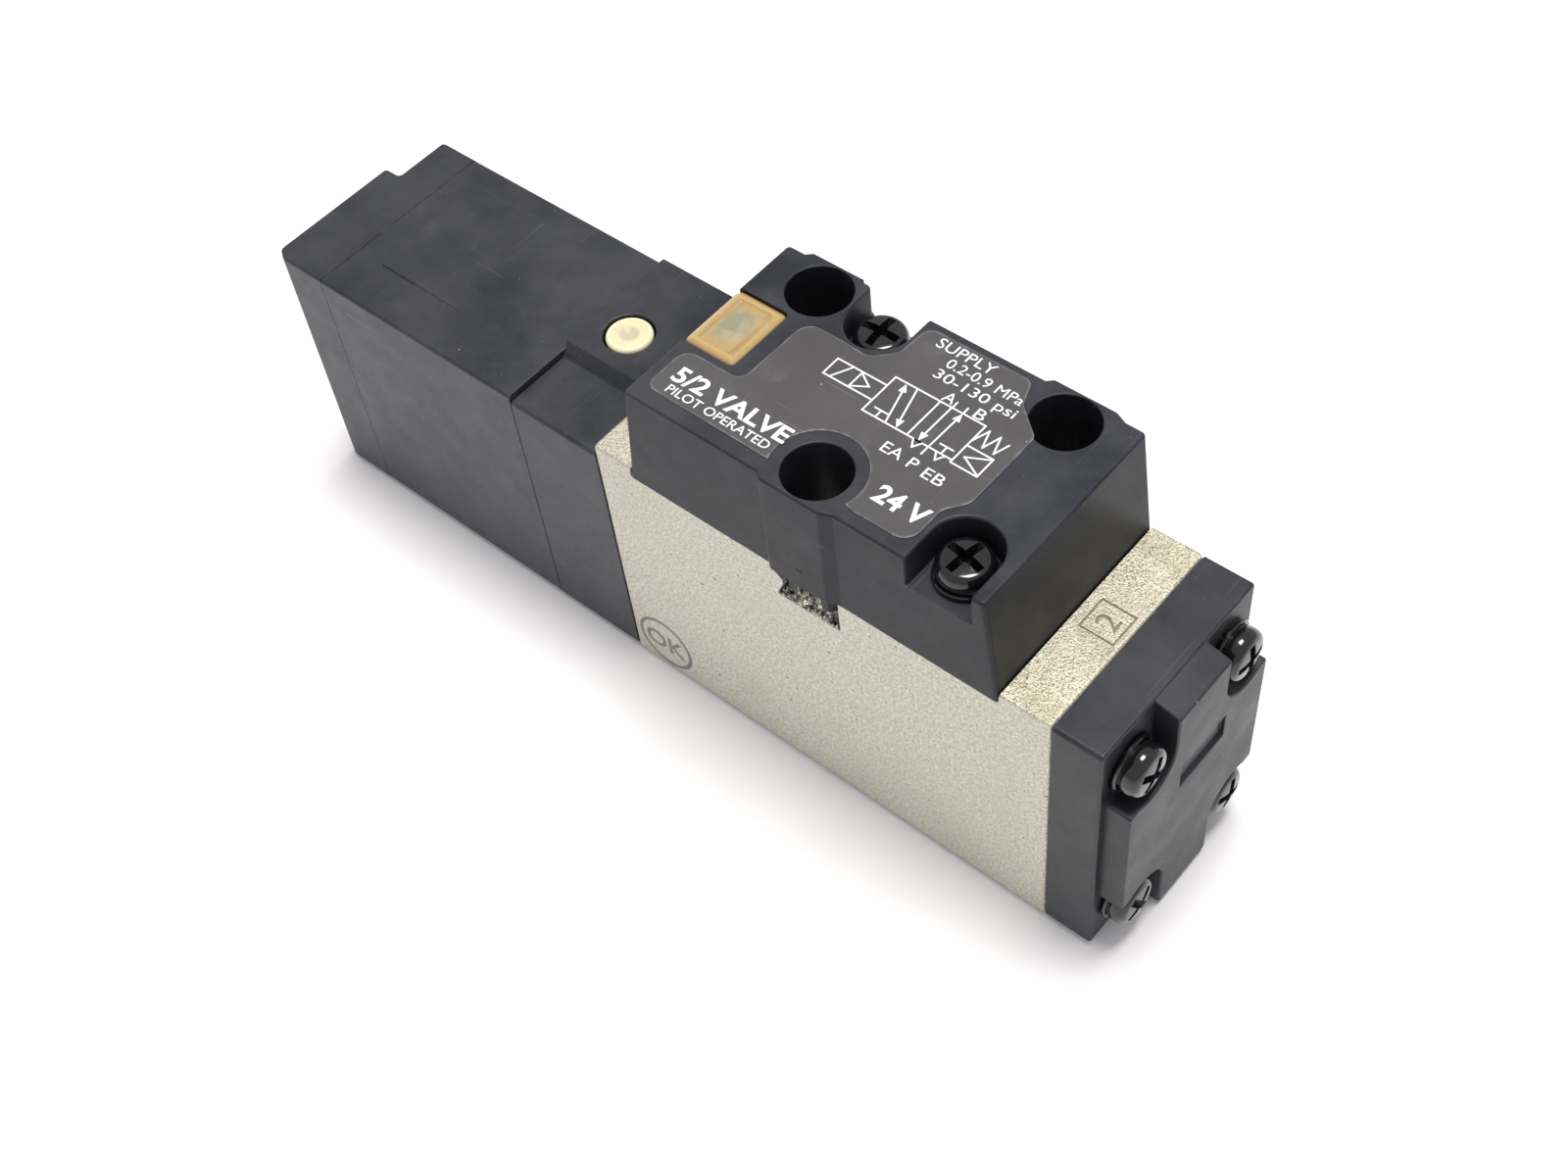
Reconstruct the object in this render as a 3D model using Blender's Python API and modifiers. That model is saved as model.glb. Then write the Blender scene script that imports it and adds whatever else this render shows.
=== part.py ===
"""Base-mounted 5/2 solenoid directional valve, pilot operated, with a spring return.

Frame: origin on the middle of the mounting face, under the body's centre.  +X points from the
solenoid to the end cover, +Y to the side with two mounting bolts, +Z up.  Metres.
"""
import math

import bmesh
import bpy
from mathutils import Matrix, Vector

MM = 0.001
GAP = 0.3 * MM                     # clearance between touching pieces

# Driving dimensions
BODY_HALF_LENGTH = 31.2 * MM
BODY_HALF_WIDTH = 13.5 * MM
BODY_HEIGHT = 37.6 * MM
GASKET_PROUD = 0.6 * MM            # the base gasket stands this far out of the body
COVER_HEIGHT = 51.1 * MM           # top of the cover above the body's underside
SEAT_HEIGHT = 36.2 * MM            # seat of the cover above the body's underside
COVER_CENTRE_X = -0.35 * MM
COVER_HALF_BOTTOM = 25.15 * MM
COVER_HALF_TOP = 23.5 * MM
PILOT_HALF_WIDTH = 13.4 * MM
PILOT_HEIGHT = 36.7 * MM
ADAPTER_HEIGHT = 35.9 * MM         # beside the button's pad
ADAPTER_LENGTH = 13.6 * MM
HOUSING_LENGTH = 32.4 * MM
CAP_LENGTH = 8.8 * MM
CAP_STEP = 2.5 * MM                # the cap is shorter beyond CAP_STEP_Y
CAP_STEP_Y = 5.6 * MM
END_SLAB = 6.1 * MM                # end cover: slab and the boss on it
END_BOSS = 3.1 * MM
BOLT_PITCH_X = 16.1 * MM           # mounting bolts, from the cover's centre
BOLT_Y = 9.9 * MM
COUNTERBORE_R = 3.8 * MM
BOLT_HOLE_R = 2.25 * MM
BOLT_SEAT_R = 3.6 * MM
BOSS_TUBE_R = 4.3 * MM             # tubes of the cover round the bolts
PORT_PITCH = 8.0 * MM              # along the sleeve
PORT_ROW_Y = 3.4 * MM              # the base ports stand in two rows
PORT_R = 3.0 * MM
SPOOL_STROKE = 3.2 * MM
ARMATURE_STROKE = 0.8 * MM
BUTTON_STROKE = 1.8 * MM

# Levels and planes worked out from them
BASE = GASKET_PROUD                # the body's underside
BODY_TOP = BASE + BODY_HEIGHT
SEAT = BASE + SEAT_HEIGHT
COVER_TOP = BASE + COVER_HEIGHT
PILOT_TOP = BASE + PILOT_HEIGHT
AXIS_Z = BASE + BODY_HEIGHT / 2    # axis of the spool and of the coil
BODY_END = BODY_HALF_LENGTH
ADAPTER_RIGHT = -BODY_END - GAP
ADAPTER_LEFT = -BODY_END - ADAPTER_LENGTH
HOUSING_RIGHT = ADAPTER_LEFT - GAP
HOUSING_LEFT = ADAPTER_LEFT - HOUSING_LENGTH
CAP_RIGHT = HOUSING_LEFT - GAP
CAP_LEFT = HOUSING_LEFT - CAP_LENGTH
SLAB_LEFT = BODY_END + GAP
SLAB_FACE = BODY_END + END_SLAB
BOSS_FACE = SLAB_FACE + END_BOSS
BOLTS = [
    (COVER_CENTRE_X - BOLT_PITCH_X, BOLT_Y),
    (COVER_CENTRE_X + BOLT_PITCH_X, BOLT_Y),
    (COVER_CENTRE_X, -BOLT_Y),
]
BOLT_SEAT = SEAT - 5.2 * MM        # faces the bolt heads sit on
NOTCH_FLOOR = SEAT - 4.4 * MM      # notch in the body's side at the near bolt
NOTCH_HALF = 3.9 * MM
TUBE_END = SEAT - 3.0 * MM
PORTS = [step * PORT_PITCH for step in (-2, -1, 0, 1, 2)]
BASE_PORTS = [(x, PORT_ROW_Y * (1 - 2 * (i % 2))) for i, x in enumerate(PORTS)]
RING_PLACES = [step * PORT_PITCH for step in (-2.5, -1.5, -0.5, 0.5, 1.5, 2.5)]

# Fasteners: M3 pan heads with a washer, and smaller ones inside
SHANK_R = 1.35 * MM
HEAD_R = 3.1 * MM
HEAD_HEIGHT = 2.9 * MM             # with the washer
WASHER_R = 3.4 * MM
WASHER_HEIGHT = 0.5 * MM
INNER_HEAD_R = 2.6 * MM
INNER_HEAD_HEIGHT = 1.9 * MM
THIN_HEAD_R = 2.2 * MM
THIN_HEAD_HEIGHT = 1.6 * MM
THIN_SHANK_R = 1.1 * MM
END_SCREW_Y = 8.8 * MM
END_SCREW_Z = 13.0 * MM            # above and below the spool's axis
END_SCREWS = [(y, z) for z in (END_SCREW_Z, -END_SCREW_Z) for y in (-END_SCREW_Y, END_SCREW_Y)]
ADAPTER_SCREWS = [(-9.6 * MM, 12.6 * MM), (9.6 * MM, -12.6 * MM)]
HOUSING_SCREWS = [(9.8 * MM, 13.2 * MM), (-9.8 * MM, -13.2 * MM)]
COVER_SCREWS = [(-8.2 * MM, 10.0 * MM), (17.5 * MM, -9.0 * MM)]
COVER_SCREW_GRIP = 8.0 * MM
POCKET_R = 3.95 * MM
POCKET_FLOOR = COVER_TOP - 4.4 * MM

# Pieces round the spool
SLEEVE_R = 6.6 * MM
SLEEVE_HALF_LENGTH = 30.6 * MM
SPOOL_BORE_R = 4.5 * MM
LAND_R = SPOOL_BORE_R - GAP
WAIST_R = 2.3 * MM
WINDOW_R = 1.0 * MM                # sleeve windows
LAND_WIDTH = 1.2 * MM
PISTON_R = 6.9 * MM
PISTON_BORE_R = 7.25 * MM
SPRING_POCKET_R = 4.4 * MM
SPRING_POCKET_END = BOSS_FACE - 2.2 * MM
SEAL_R = 7.9 * MM                  # face seals of the end cover and the adapter

# Pieces of the pilot
BUTTON_X, BUTTON_Y = -39.5 * MM, 1.6 * MM
BUTTON_R = 2.85 * MM
BUTTON_BORE_R = 3.15 * MM
PAD_TOP = BODY_TOP + 0.1 * MM
PAD_NEAR = -3.4 * MM               # the pad runs from here to the far side
PISTON_BORE_END = -41.2 * MM
BUTTON_FLOOR = PAD_TOP - 4.6 * MM
STEM_FLOOR = AXIS_Z + PISTON_BORE_R + 1.2 * MM
STEM_RING_Z = (BUTTON_FLOOR + STEM_FLOOR) / 2
SOCKET_LOW = (-43.2 * MM, -6.2 * MM, BASE - 1.0 * MM)
SOCKET_HIGH = (-33.2 * MM, 6.2 * MM, BASE + 9.6 * MM)
SHELL_WALL = 1.8 * MM
BOBBIN_BORE_R = 5.3 * MM
FLANGE_R = 10.8 * MM
COIL_LEFT, COIL_RIGHT = -73.0 * MM, -50.2 * MM
CORE_TUBE_R = 5.0 * MM
CORE_TUBE_BORE = 4.5 * MM
ARMATURE_R = 4.15 * MM
SEAT_X = -46.2 * MM                # tip of the pilot nozzle
AIR_GAP_X = -60.5 * MM             # right face of the fixed core

# Top of the cover
WINDOW_LOW_Y, WINDOW_HIGH_Y = -4.0 * MM, 5.2 * MM
WINDOW_RIGHT = -16.9 * MM
WINDOW_FLOOR = COVER_TOP - 2.6 * MM
LABEL_TOP = 0.2 * MM

COLOURS = {                        # base colour, roughness, metallic
    "cast_aluminium": ((0.60, 0.57, 0.52), 0.55, 0.9),
    "black_plastic": ((0.045, 0.048, 0.055), 0.45, 0.0),
    "black_screw": ((0.02, 0.02, 0.022), 0.22, 0.6),
    "ivory_plastic": ((0.86, 0.80, 0.60), 0.4, 0.0),
    "amber_plastic": ((0.75, 0.52, 0.25), 0.25, 0.0),
    "label_film": ((0.09, 0.085, 0.082), 0.5, 0.0),
    "rubber": ((0.02, 0.02, 0.02), 0.8, 0.0),
    "steel": ((0.55, 0.55, 0.56), 0.3, 1.0),
    "brass": ((0.70, 0.52, 0.25), 0.3, 1.0),
    "copper": ((0.62, 0.30, 0.15), 0.4, 1.0),
    "board_green": ((0.03, 0.18, 0.07), 0.5, 0.0),
    "lamp_red": ((0.6, 0.05, 0.03), 0.2, 0.0),
    "nylon": ((0.75, 0.75, 0.72), 0.5, 0.0),
}
AXIS_TURN = {
    "X": (0.0, math.pi / 2, 0.0),
    "Y": (-math.pi / 2, 0.0, 0.0),
    "Z": (0.0, 0.0, 0.0),
}
HEAD_LEFT = (0.0, -math.pi / 2, 0.0)   # a screw put in from the solenoid's end


def clear_scene():
    for old in list(bpy.data.objects):
        bpy.data.objects.remove(old, do_unlink=True)


def new_collection(name):
    collection = bpy.data.collections.new(name)
    bpy.context.scene.collection.children.link(collection)
    return collection


clear_scene()
PARTS = new_collection("solenoid_directional_valve")
CUTTERS = new_collection("cutters")


def material(name):
    found = bpy.data.materials.get(name)
    if found:
        return found
    colour, roughness, metallic = COLOURS[name]
    made = bpy.data.materials.new(name)
    made.use_nodes = True
    shader = made.node_tree.nodes["Principled BSDF"]
    shader.inputs["Base Color"].default_value = (*colour, 1.0)
    shader.inputs["Roughness"].default_value = roughness
    shader.inputs["Metallic"].default_value = metallic
    return made


def add_object(name, data, finish):
    """A part when finish names its material, and a cutter when finish is None."""
    made = bpy.data.objects.new(name, data)
    if finish is None:
        CUTTERS.objects.link(made)
        made.hide_render = True
        made.display_type = "WIRE"
    else:
        PARTS.objects.link(made)
        data.materials.append(material(finish))
    return made


def block(name, low, high, finish=None, bevel=0.0, shrink_top=None):
    """A box between two corners; shrink_top scales its upper face in X and Y."""
    shape = bmesh.new()
    bmesh.ops.create_cube(shape, size=1.0)
    if shrink_top:
        upper = [vert for vert in shape.verts if vert.co.z > 0]
        bmesh.ops.scale(shape, verts=upper, vec=(*shrink_top, 1.0))
    size = Vector(high) - Vector(low)
    bmesh.ops.scale(shape, verts=shape.verts, vec=size)
    mesh = bpy.data.meshes.new(name)
    shape.to_mesh(mesh)
    shape.free()
    made = add_object(name, mesh, finish)
    made.location = (Vector(high) + Vector(low)) / 2
    if bevel:
        edges = made.modifiers.new("edges", "BEVEL")
        edges.width = bevel
        edges.segments = 2
        edges.limit_method = "ANGLE"
    return made


def cylinder(name, radius, start, length, axis="Z", finish=None, segments=32, end_radius=None):
    """A round bar, or a cone with an end_radius, from its start centre along an axis."""
    shape = bmesh.new()
    bmesh.ops.create_cone(
        shape, cap_ends=True, segments=segments, radius1=radius,
        radius2=radius if end_radius is None else end_radius, depth=length)
    bmesh.ops.translate(shape, verts=shape.verts, vec=(0, 0, length / 2))
    mesh = bpy.data.meshes.new(name)
    shape.to_mesh(mesh)
    shape.free()
    made = add_object(name, mesh, finish)
    made.location = start
    made.rotation_euler = AXIS_TURN[axis]
    mesh.shade_smooth()
    mesh.set_sharp_from_angle(angle=math.radians(30))
    return made


def turned(name, profile, start, axis, finish, segments=32):
    """A turned piece: profile is (radius, height) running down its outer side."""
    mesh = bpy.data.meshes.new(name)
    points = [(radius, 0.0, height) for radius, height in profile]
    closed = profile[0][0] > 0
    links = [(i, i + 1) for i in range(len(points) - 1)]
    if closed:
        links.append((len(points) - 1, 0))
    mesh.from_pydata(points, links, [])
    made = add_object(name, mesh, finish)
    made.location = start
    made.rotation_euler = AXIS_TURN[axis]
    screw = made.modifiers.new("turn", "SCREW")
    screw.steps = screw.render_steps = segments
    screw.use_merge_vertices = True
    screw.merge_threshold = 0.000005
    screw.use_smooth_shade = False
    return made


def ring(name, centre, axis, radius, cord, finish="rubber", segments=16):
    """An O-ring of a given cord radius."""
    sides = 5
    angles = [-math.tau * i / sides for i in range(sides)]
    profile = [(radius + cord * math.cos(a), cord * math.sin(a)) for a in angles]
    return turned(name, profile, centre, axis, finish, segments)


def plate(name, outline, thickness, start, axis, finish=None):
    """A flat outline, given as (across, up) points, thickened along an axis from its start."""
    curve = bpy.data.curves.new(name, "CURVE")
    curve.dimensions = "2D"
    curve.fill_mode = "BOTH"
    curve.extrude = thickness / 2
    spline = curve.splines.new("POLY")
    spline.points.add(len(outline) - 1)
    for point, (across, up) in zip(spline.points, outline):
        point.co = (across, up, 0.0, 1.0)
    spline.use_cyclic_u = True
    flat = bpy.data.objects.new(name, curve)
    bpy.context.scene.collection.objects.link(flat)
    bpy.context.view_layer.update()
    mesh = bpy.data.meshes.new_from_object(flat.evaluated_get(bpy.context.evaluated_depsgraph_get()))
    bpy.data.objects.remove(flat, do_unlink=True)
    shape = bmesh.new()
    shape.from_mesh(mesh)
    bmesh.ops.remove_doubles(shape, verts=shape.verts, dist=0.000001)
    bmesh.ops.dissolve_limit(shape, angle_limit=math.radians(1), verts=shape.verts, edges=shape.edges)
    bmesh.ops.translate(shape, verts=shape.verts, vec=(0, 0, thickness / 2))
    if axis == "X":                # outline across is +Y, up is +Z
        turn = Matrix(((0, 0, 1), (1, 0, 0), (0, 1, 0))).to_4x4()
        bmesh.ops.transform(shape, verts=shape.verts, matrix=turn)
    if axis == "Y":                # outline across is +X, up is +Z, and it thickens towards -Y
        bmesh.ops.transform(shape, verts=shape.verts, matrix=Matrix.Rotation(math.pi / 2, 4, "X"))
    bmesh.ops.recalc_face_normals(shape, faces=shape.faces)
    shape.to_mesh(mesh)
    shape.free()
    made = add_object(name, mesh, finish)
    made.location = start
    return made


def arc(centre, radius, first, last, steps):
    """Points on an arc between two angles in degrees, both ends included."""
    angles = [math.radians(first + (last - first) * i / steps) for i in range(steps + 1)]
    return [(centre[0] + radius * math.cos(a), centre[1] + radius * math.sin(a)) for a in angles]


def cut(part, *cutters):
    for cutter in cutters:
        step = part.modifiers.new(cutter.name, "BOOLEAN")
        step.operation = "DIFFERENCE"
        step.object = cutter
    return part


def join(part, *additions):
    for addition in additions:
        step = part.modifiers.new(addition.name, "BOOLEAN")
        step.operation = "UNION"
        step.object = addition
    return part


def coil(name, start, axis, length, mean_radius, wire, turns, finish="steel"):
    """A compression spring with its coils along an axis from its start centre."""
    steps_per_turn = 10
    count = turns * steps_per_turn
    curve = bpy.data.curves.new(name, "CURVE")
    curve.dimensions = "3D"
    curve.bevel_depth = wire / 2
    curve.bevel_resolution = 0
    curve.use_fill_caps = True
    spline = curve.splines.new("POLY")
    spline.points.add(count)
    for i, point in enumerate(spline.points):
        angle = math.tau * i / steps_per_turn
        along = wire / 2 + (length - wire) * i / count
        point.co = (mean_radius * math.cos(angle), mean_radius * math.sin(angle), along, 1.0)
    made = add_object(name, curve, finish)
    made.location = start
    made.rotation_euler = AXIS_TURN[axis]
    return made


def on_axis(x, y=0.0, z=0.0):
    """A point at x, with y and z counted from the spool's axis."""
    return (x, y, AXIS_Z + z)


# ---------------------------------------------------------------- body

def make_body():
    body = block(
        "main_body", (-BODY_END, -BODY_HALF_WIDTH, BASE), (BODY_END, BODY_HALF_WIDTH, BODY_TOP),
        "cast_aluminium", bevel=0.5 * MM)
    over = 1.0 * MM
    cut(body, block(
        "cut_cover_seat",
        (COVER_CENTRE_X - COVER_HALF_BOTTOM - GAP, -BODY_HALF_WIDTH - over, SEAT),
        (COVER_CENTRE_X + COVER_HALF_BOTTOM + GAP, BODY_HALF_WIDTH + over, BODY_TOP + over)))
    cut(body, cylinder(
        "cut_sleeve_bore", SLEEVE_R + GAP, on_axis(-BODY_END - over), 2 * (BODY_END + over), "X"))
    for number, (x, y) in enumerate(BASE_PORTS):
        cut(body, cylinder(
            f"cut_port_{number}", PORT_R, (x, y, BASE - over), AXIS_Z - PORT_R - BASE + over, segments=20))
    cut(body, plate(
        "cut_gasket_pocket", gasket_outline(GAP), GASKET_PROUD + over, (0, 0, BASE - over), "Z"))
    for number, (x, y) in enumerate(BOLTS):
        cut(body, cylinder(
            f"cut_tube_pocket_{number}", BOSS_TUBE_R + GAP, (x, y, TUBE_END - GAP),
            SEAT - TUBE_END + over, segments=24))
        cut(body, cylinder(
            f"cut_bolt_seat_{number}", BOLT_SEAT_R, (x, y, BOLT_SEAT), SEAT - BOLT_SEAT, segments=24))
        cut(body, cylinder(
            f"cut_bolt_hole_{number}", BOLT_HOLE_R, (x, y, BASE - over), BODY_HEIGHT, segments=16))
    near_x = BOLTS[2][0]
    cut(body, block(
        "cut_side_notch", (near_x - NOTCH_HALF, -BODY_HALF_WIDTH - over, NOTCH_FLOOR),
        (near_x + NOTCH_HALF, -BOLT_Y - 1.0 * MM, SEAT + over)))
    for number, (x, y) in enumerate(COVER_SCREWS):
        cut(body, cylinder(
            f"cut_cover_screw_{number}", SHANK_R + GAP, (x, y, SEAT - COVER_SCREW_GRIP),
            COVER_SCREW_GRIP + over, segments=12))
    for number, (y, z) in enumerate(END_SCREWS):
        cut(body, cylinder(
            f"cut_end_screw_{number}", SHANK_R + GAP, on_axis(BODY_END - 8 * MM, y, z), 9 * MM, "X",
            segments=12))
    for number, (y, z) in enumerate(ADAPTER_SCREWS):
        cut(body, cylinder(
            f"cut_adapter_screw_{number}", SHANK_R + GAP, on_axis(-BODY_END - over, y, z), 8 * MM,
            "X", segments=12))
    return body


def gasket_outline(grow=0.0):
    """A rectangle with round corners, under the two rows of ports."""
    radius = 3.0 * MM + grow
    across, along = 20.6 * MM + grow - radius, 7.3 * MM + grow - radius
    corners = [(across, along), (-across, along), (-across, -along), (across, -along)]
    points = []
    for quarter, corner in enumerate(corners):
        points += arc(corner, radius, 90 * quarter, 90 * quarter + 90, 4)
    return points


def make_gasket():
    gasket = plate("base_gasket", gasket_outline(), 2 * GASKET_PROUD - GAP, (0, 0, 0), "Z", "rubber")
    for number, (x, y) in enumerate(BASE_PORTS):
        cut(gasket, cylinder(
            f"cut_gasket_port_{number}", PORT_R, (x, y, -1 * MM), 3 * MM, segments=20))
    return gasket


# ---------------------------------------------------------------- sleeve and spool

def make_sleeve():
    """The hardened sleeve: grooves at the ports, and grooves between them for the O-rings."""
    port_half, port_depth = 2.6 * MM, 1.0 * MM
    ring_half, ring_depth = 0.9 * MM, 1.0 * MM
    grooves = [(x, port_half, port_depth) for x in PORTS]
    grooves += [(x, ring_half, ring_depth) for x in RING_PLACES]
    profile = [(SLEEVE_R, SLEEVE_HALF_LENGTH)]
    for x, half, depth in sorted(grooves, reverse=True):
        profile += [(SLEEVE_R, x + half), (SLEEVE_R - depth, x + half)]
        profile += [(SLEEVE_R - depth, x - half), (SLEEVE_R, x - half)]
    profile += [(SLEEVE_R, -SLEEVE_HALF_LENGTH), (SPOOL_BORE_R, -SLEEVE_HALF_LENGTH),
                (SPOOL_BORE_R, SLEEVE_HALF_LENGTH)]
    sleeve = turned("spool_sleeve", profile, on_axis(0), "X", "steel", segments=16)
    for number, x in enumerate(PORTS):
        cut(sleeve, cylinder(
            f"cut_window_up_{number}", WINDOW_R, on_axis(x, 0, -8 * MM), 16 * MM, "Z", segments=6))
        cut(sleeve, cylinder(
            f"cut_window_side_{number}", WINDOW_R, on_axis(x, -8 * MM), 16 * MM, "Y", segments=6))
    return sleeve


def make_sleeve_rings():
    cord = 0.5 * MM
    for number, x in enumerate(RING_PLACES, start=1):
        ring(f"sleeve_o_ring_{number}", on_axis(x), "X", SLEEVE_R - 0.35 * MM, cord)


def make_spool():
    """At rest each middle land seals just left of its port window; the stroke carries it past."""
    window = WINDOW_R
    lands = [(-28.0 * MM, PORTS[0] - window - 4.0 * MM)]
    for port in (PORTS[0], PORTS[2], PORTS[4]):
        lands.append((port - window - LAND_WIDTH, port - window))
    lands.append((PORTS[4] + window + 3.6 * MM, 28.0 * MM))
    end_left = -SLEEVE_HALF_LENGTH + 0.3 * MM
    profile = [(0, 28.0 * MM)]
    for left, right in sorted(lands, reverse=True):
        profile += [(LAND_R, right), (LAND_R, left), (WAIST_R, left)]
        next_lands = [land for land in lands if land[1] < left]
        if next_lands:
            profile.append((WAIST_R, max(land[1] for land in next_lands)))
    profile += [(WAIST_R, end_left), (0, end_left)]
    return turned("spool", profile, on_axis(0), "X", "steel", segments=16)


def make_pilot_piston():
    """The piston that the pilot air pushes; it bears on the spool's left end."""
    right = -SLEEVE_HALF_LENGTH
    groove = 0.9 * MM
    profile = [
        (0, 0), (WAIST_R + 0.4 * MM, 0), (WAIST_R + 0.4 * MM, -1.2 * MM - SPOOL_STROKE),
        (PISTON_R, -1.2 * MM - SPOOL_STROKE), (PISTON_R, -2.2 * MM - SPOOL_STROKE),
        (PISTON_R - groove, -2.2 * MM - SPOOL_STROKE), (PISTON_R - groove, -4.0 * MM - SPOOL_STROKE),
        (PISTON_R, -4.0 * MM - SPOOL_STROKE), (PISTON_R, -5.0 * MM - SPOOL_STROKE),
        (0, -5.0 * MM - SPOOL_STROKE)]
    turned("pilot_piston", profile, on_axis(right), "X", "nylon", segments=24)
    ring("piston_ring", on_axis(right - 3.1 * MM - SPOOL_STROKE), "X", PISTON_R - 0.3 * MM, 0.45 * MM)


def make_return_spring():
    start = 28.0 * MM + GAP
    coil("return_spring", on_axis(start), "X", SPRING_POCKET_END - GAP - start, 2.9 * MM, 0.6 * MM, 6)


# ---------------------------------------------------------------- end cover

def boss_outline():
    """The boss's outline: its corners give way to the four screws."""
    half_width, half_height, reach = 12.5 * MM, BODY_HEIGHT / 2, 4.6 * MM
    bite = 4.3 * MM                # radius round a screw's axis
    points = []
    for side, end in ((1, 1), (-1, 1), (-1, -1), (1, -1)):
        corner = arc((END_SCREW_Y, END_SCREW_Z), bite, -60, -170, 5)
        shoulder = corner[0][1]
        quarter = [(half_width, shoulder)] + corner + [(reach, half_height)]
        if side != end:
            quarter.reverse()
        points += [(side * across, end * up) for across, up in quarter]
    return points


def make_end_cover():
    height = BODY_HEIGHT
    cover = block(
        "end_cover", (SLAB_LEFT, -BODY_HALF_WIDTH, BASE), (SLAB_FACE, BODY_HALF_WIDTH, BASE + height),
        "black_plastic", bevel=0.4 * MM)
    sunk, over = 0.5 * MM, 1.0 * MM
    join(cover, plate("add_boss", boss_outline(), END_BOSS + sunk, on_axis(SLAB_FACE - sunk), "X"))
    drop = 1.2 * MM                # the boss's top slopes down to its face
    slope = [(SLAB_FACE, BODY_TOP), (BOSS_FACE, BODY_TOP - drop), (BOSS_FACE + over, BODY_TOP - drop),
             (BOSS_FACE + over, BODY_TOP + over), (SLAB_FACE, BODY_TOP + over)]
    cut(cover, plate("cut_boss_slope", slope, 4 * BODY_HALF_WIDTH, (0, 2 * BODY_HALF_WIDTH, 0), "Y"))
    cut(cover, cylinder(
        "cut_spring_pocket", SPRING_POCKET_R, on_axis(SLAB_LEFT - 1 * MM),
        SPRING_POCKET_END - SLAB_LEFT + 1 * MM, "X", segments=28))
    groove = ring_groove("cut_end_groove", SLAB_LEFT, 1)
    cut(cover, groove)
    cut(cover, block(
        "cut_name_recess", (BOSS_FACE - 0.5 * MM, -3.2 * MM, BASE + 22.5 * MM),
        (BOSS_FACE + 1 * MM, 5.0 * MM, BASE + 26.3 * MM)))
    for number, (y, z) in enumerate(END_SCREWS):
        cut(cover, cylinder(
            f"cut_end_shank_{number}", SHANK_R + GAP, on_axis(SLAB_LEFT - over, y, z), 8 * MM, "X",
            segments=12))
    ring("end_cover_seal", on_axis(SLAB_LEFT + 0.55 * MM), "X", SEAL_R, 0.5 * MM)


def ring_groove(name, face_x, side):
    """The ring-shaped cutter of a face seal's groove; side is the way into the material."""
    depth, half_width = 1.15 * MM, 0.8 * MM
    low, high = sorted((face_x - side * 1 * MM, face_x + side * depth))
    profile = [(SEAL_R + half_width, high), (SEAL_R + half_width, low),
               (SEAL_R - half_width, low), (SEAL_R - half_width, high)]
    return turned(name, profile, on_axis(0), "X", None, segments=20)


def pan_screw(name, location, axis, shank, turn=0.0):
    """A pan-head screw with a washer and a cross recess; its underside is at the location."""
    flank = 0.72 * HEAD_HEIGHT
    profile = [(0, HEAD_HEIGHT), (0.5 * HEAD_R, HEAD_HEIGHT), (0.86 * HEAD_R, 0.92 * HEAD_HEIGHT),
               (HEAD_R, flank), (HEAD_R, WASHER_HEIGHT), (WASHER_R, WASHER_HEIGHT), (WASHER_R, 0),
               (SHANK_R, 0), (SHANK_R, -shank), (0, -shank)]
    screw = turned(name, profile, location, axis, "black_screw", segments=18)
    wing, half, sunk = 0.62 * HEAD_R, 0.13 * HEAD_R, 0.5 * HEAD_HEIGHT
    for number, (across, along) in enumerate(((wing, half), (half, wing))):
        slot = block(f"cut_{name}_{number}", (-across, -along, -sunk), (across, along, sunk))
        slot.rotation_euler = (0, AXIS_TURN[axis][1], 0)
        slot.rotation_euler.rotate_axis("Z", turn)
        slot.location = Vector(location) + slot.rotation_euler.to_matrix() @ Vector((0, 0, HEAD_HEIGHT))
        cut(screw, slot)
    return screw


def plain_screw(name, location, shank, head_radius, head_height, shank_radius):
    """A screw with a smooth head, put in from the solenoid's end."""
    profile = [(0, head_height), (0.8 * head_radius, head_height), (head_radius, 0.6 * head_height),
               (head_radius, 0), (shank_radius, 0), (shank_radius, -shank), (0, -shank)]
    screw = turned(name, profile, location, "X", "black_screw", segments=12)
    screw.rotation_euler = HEAD_LEFT
    return screw


def make_end_screws():
    for number, (y, z) in enumerate(END_SCREWS, start=1):
        pan_screw(f"end_cover_screw_{number}", on_axis(SLAB_FACE + GAP, y, z), "X", 12 * MM,
                  turn=math.radians(20 + 35 * number))


# ---------------------------------------------------------------- top cover

def pocket_outline(sign):
    """A screw pocket: round inside, and open to one side of the cover."""
    inner = arc((0, 0), POCKET_R, 0, -sign * 180, 12)
    out = 8.0 * MM * sign
    return inner + [(-POCKET_R, out), (POCKET_R, out)]


def side_bump(number, x, side):
    """A flat pad on the cover's side where the bolt's bore comes near it."""
    half, proud = 4.3 * MM, 0.65 * MM
    inner = side * (BODY_HALF_WIDTH - 1.0 * MM)
    outer = side * (BODY_HALF_WIDTH + proud)
    shape = [(x - half - 0.7 * MM, inner), (x + half + 0.7 * MM, inner), (x + half - 0.1 * MM, outer),
             (x - half + 0.1 * MM, outer)]
    return plate(f"add_bump_{number}", shape, COVER_TOP - SEAT - GAP - 0.4 * MM, (0, 0, SEAT + GAP), "Z")


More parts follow.
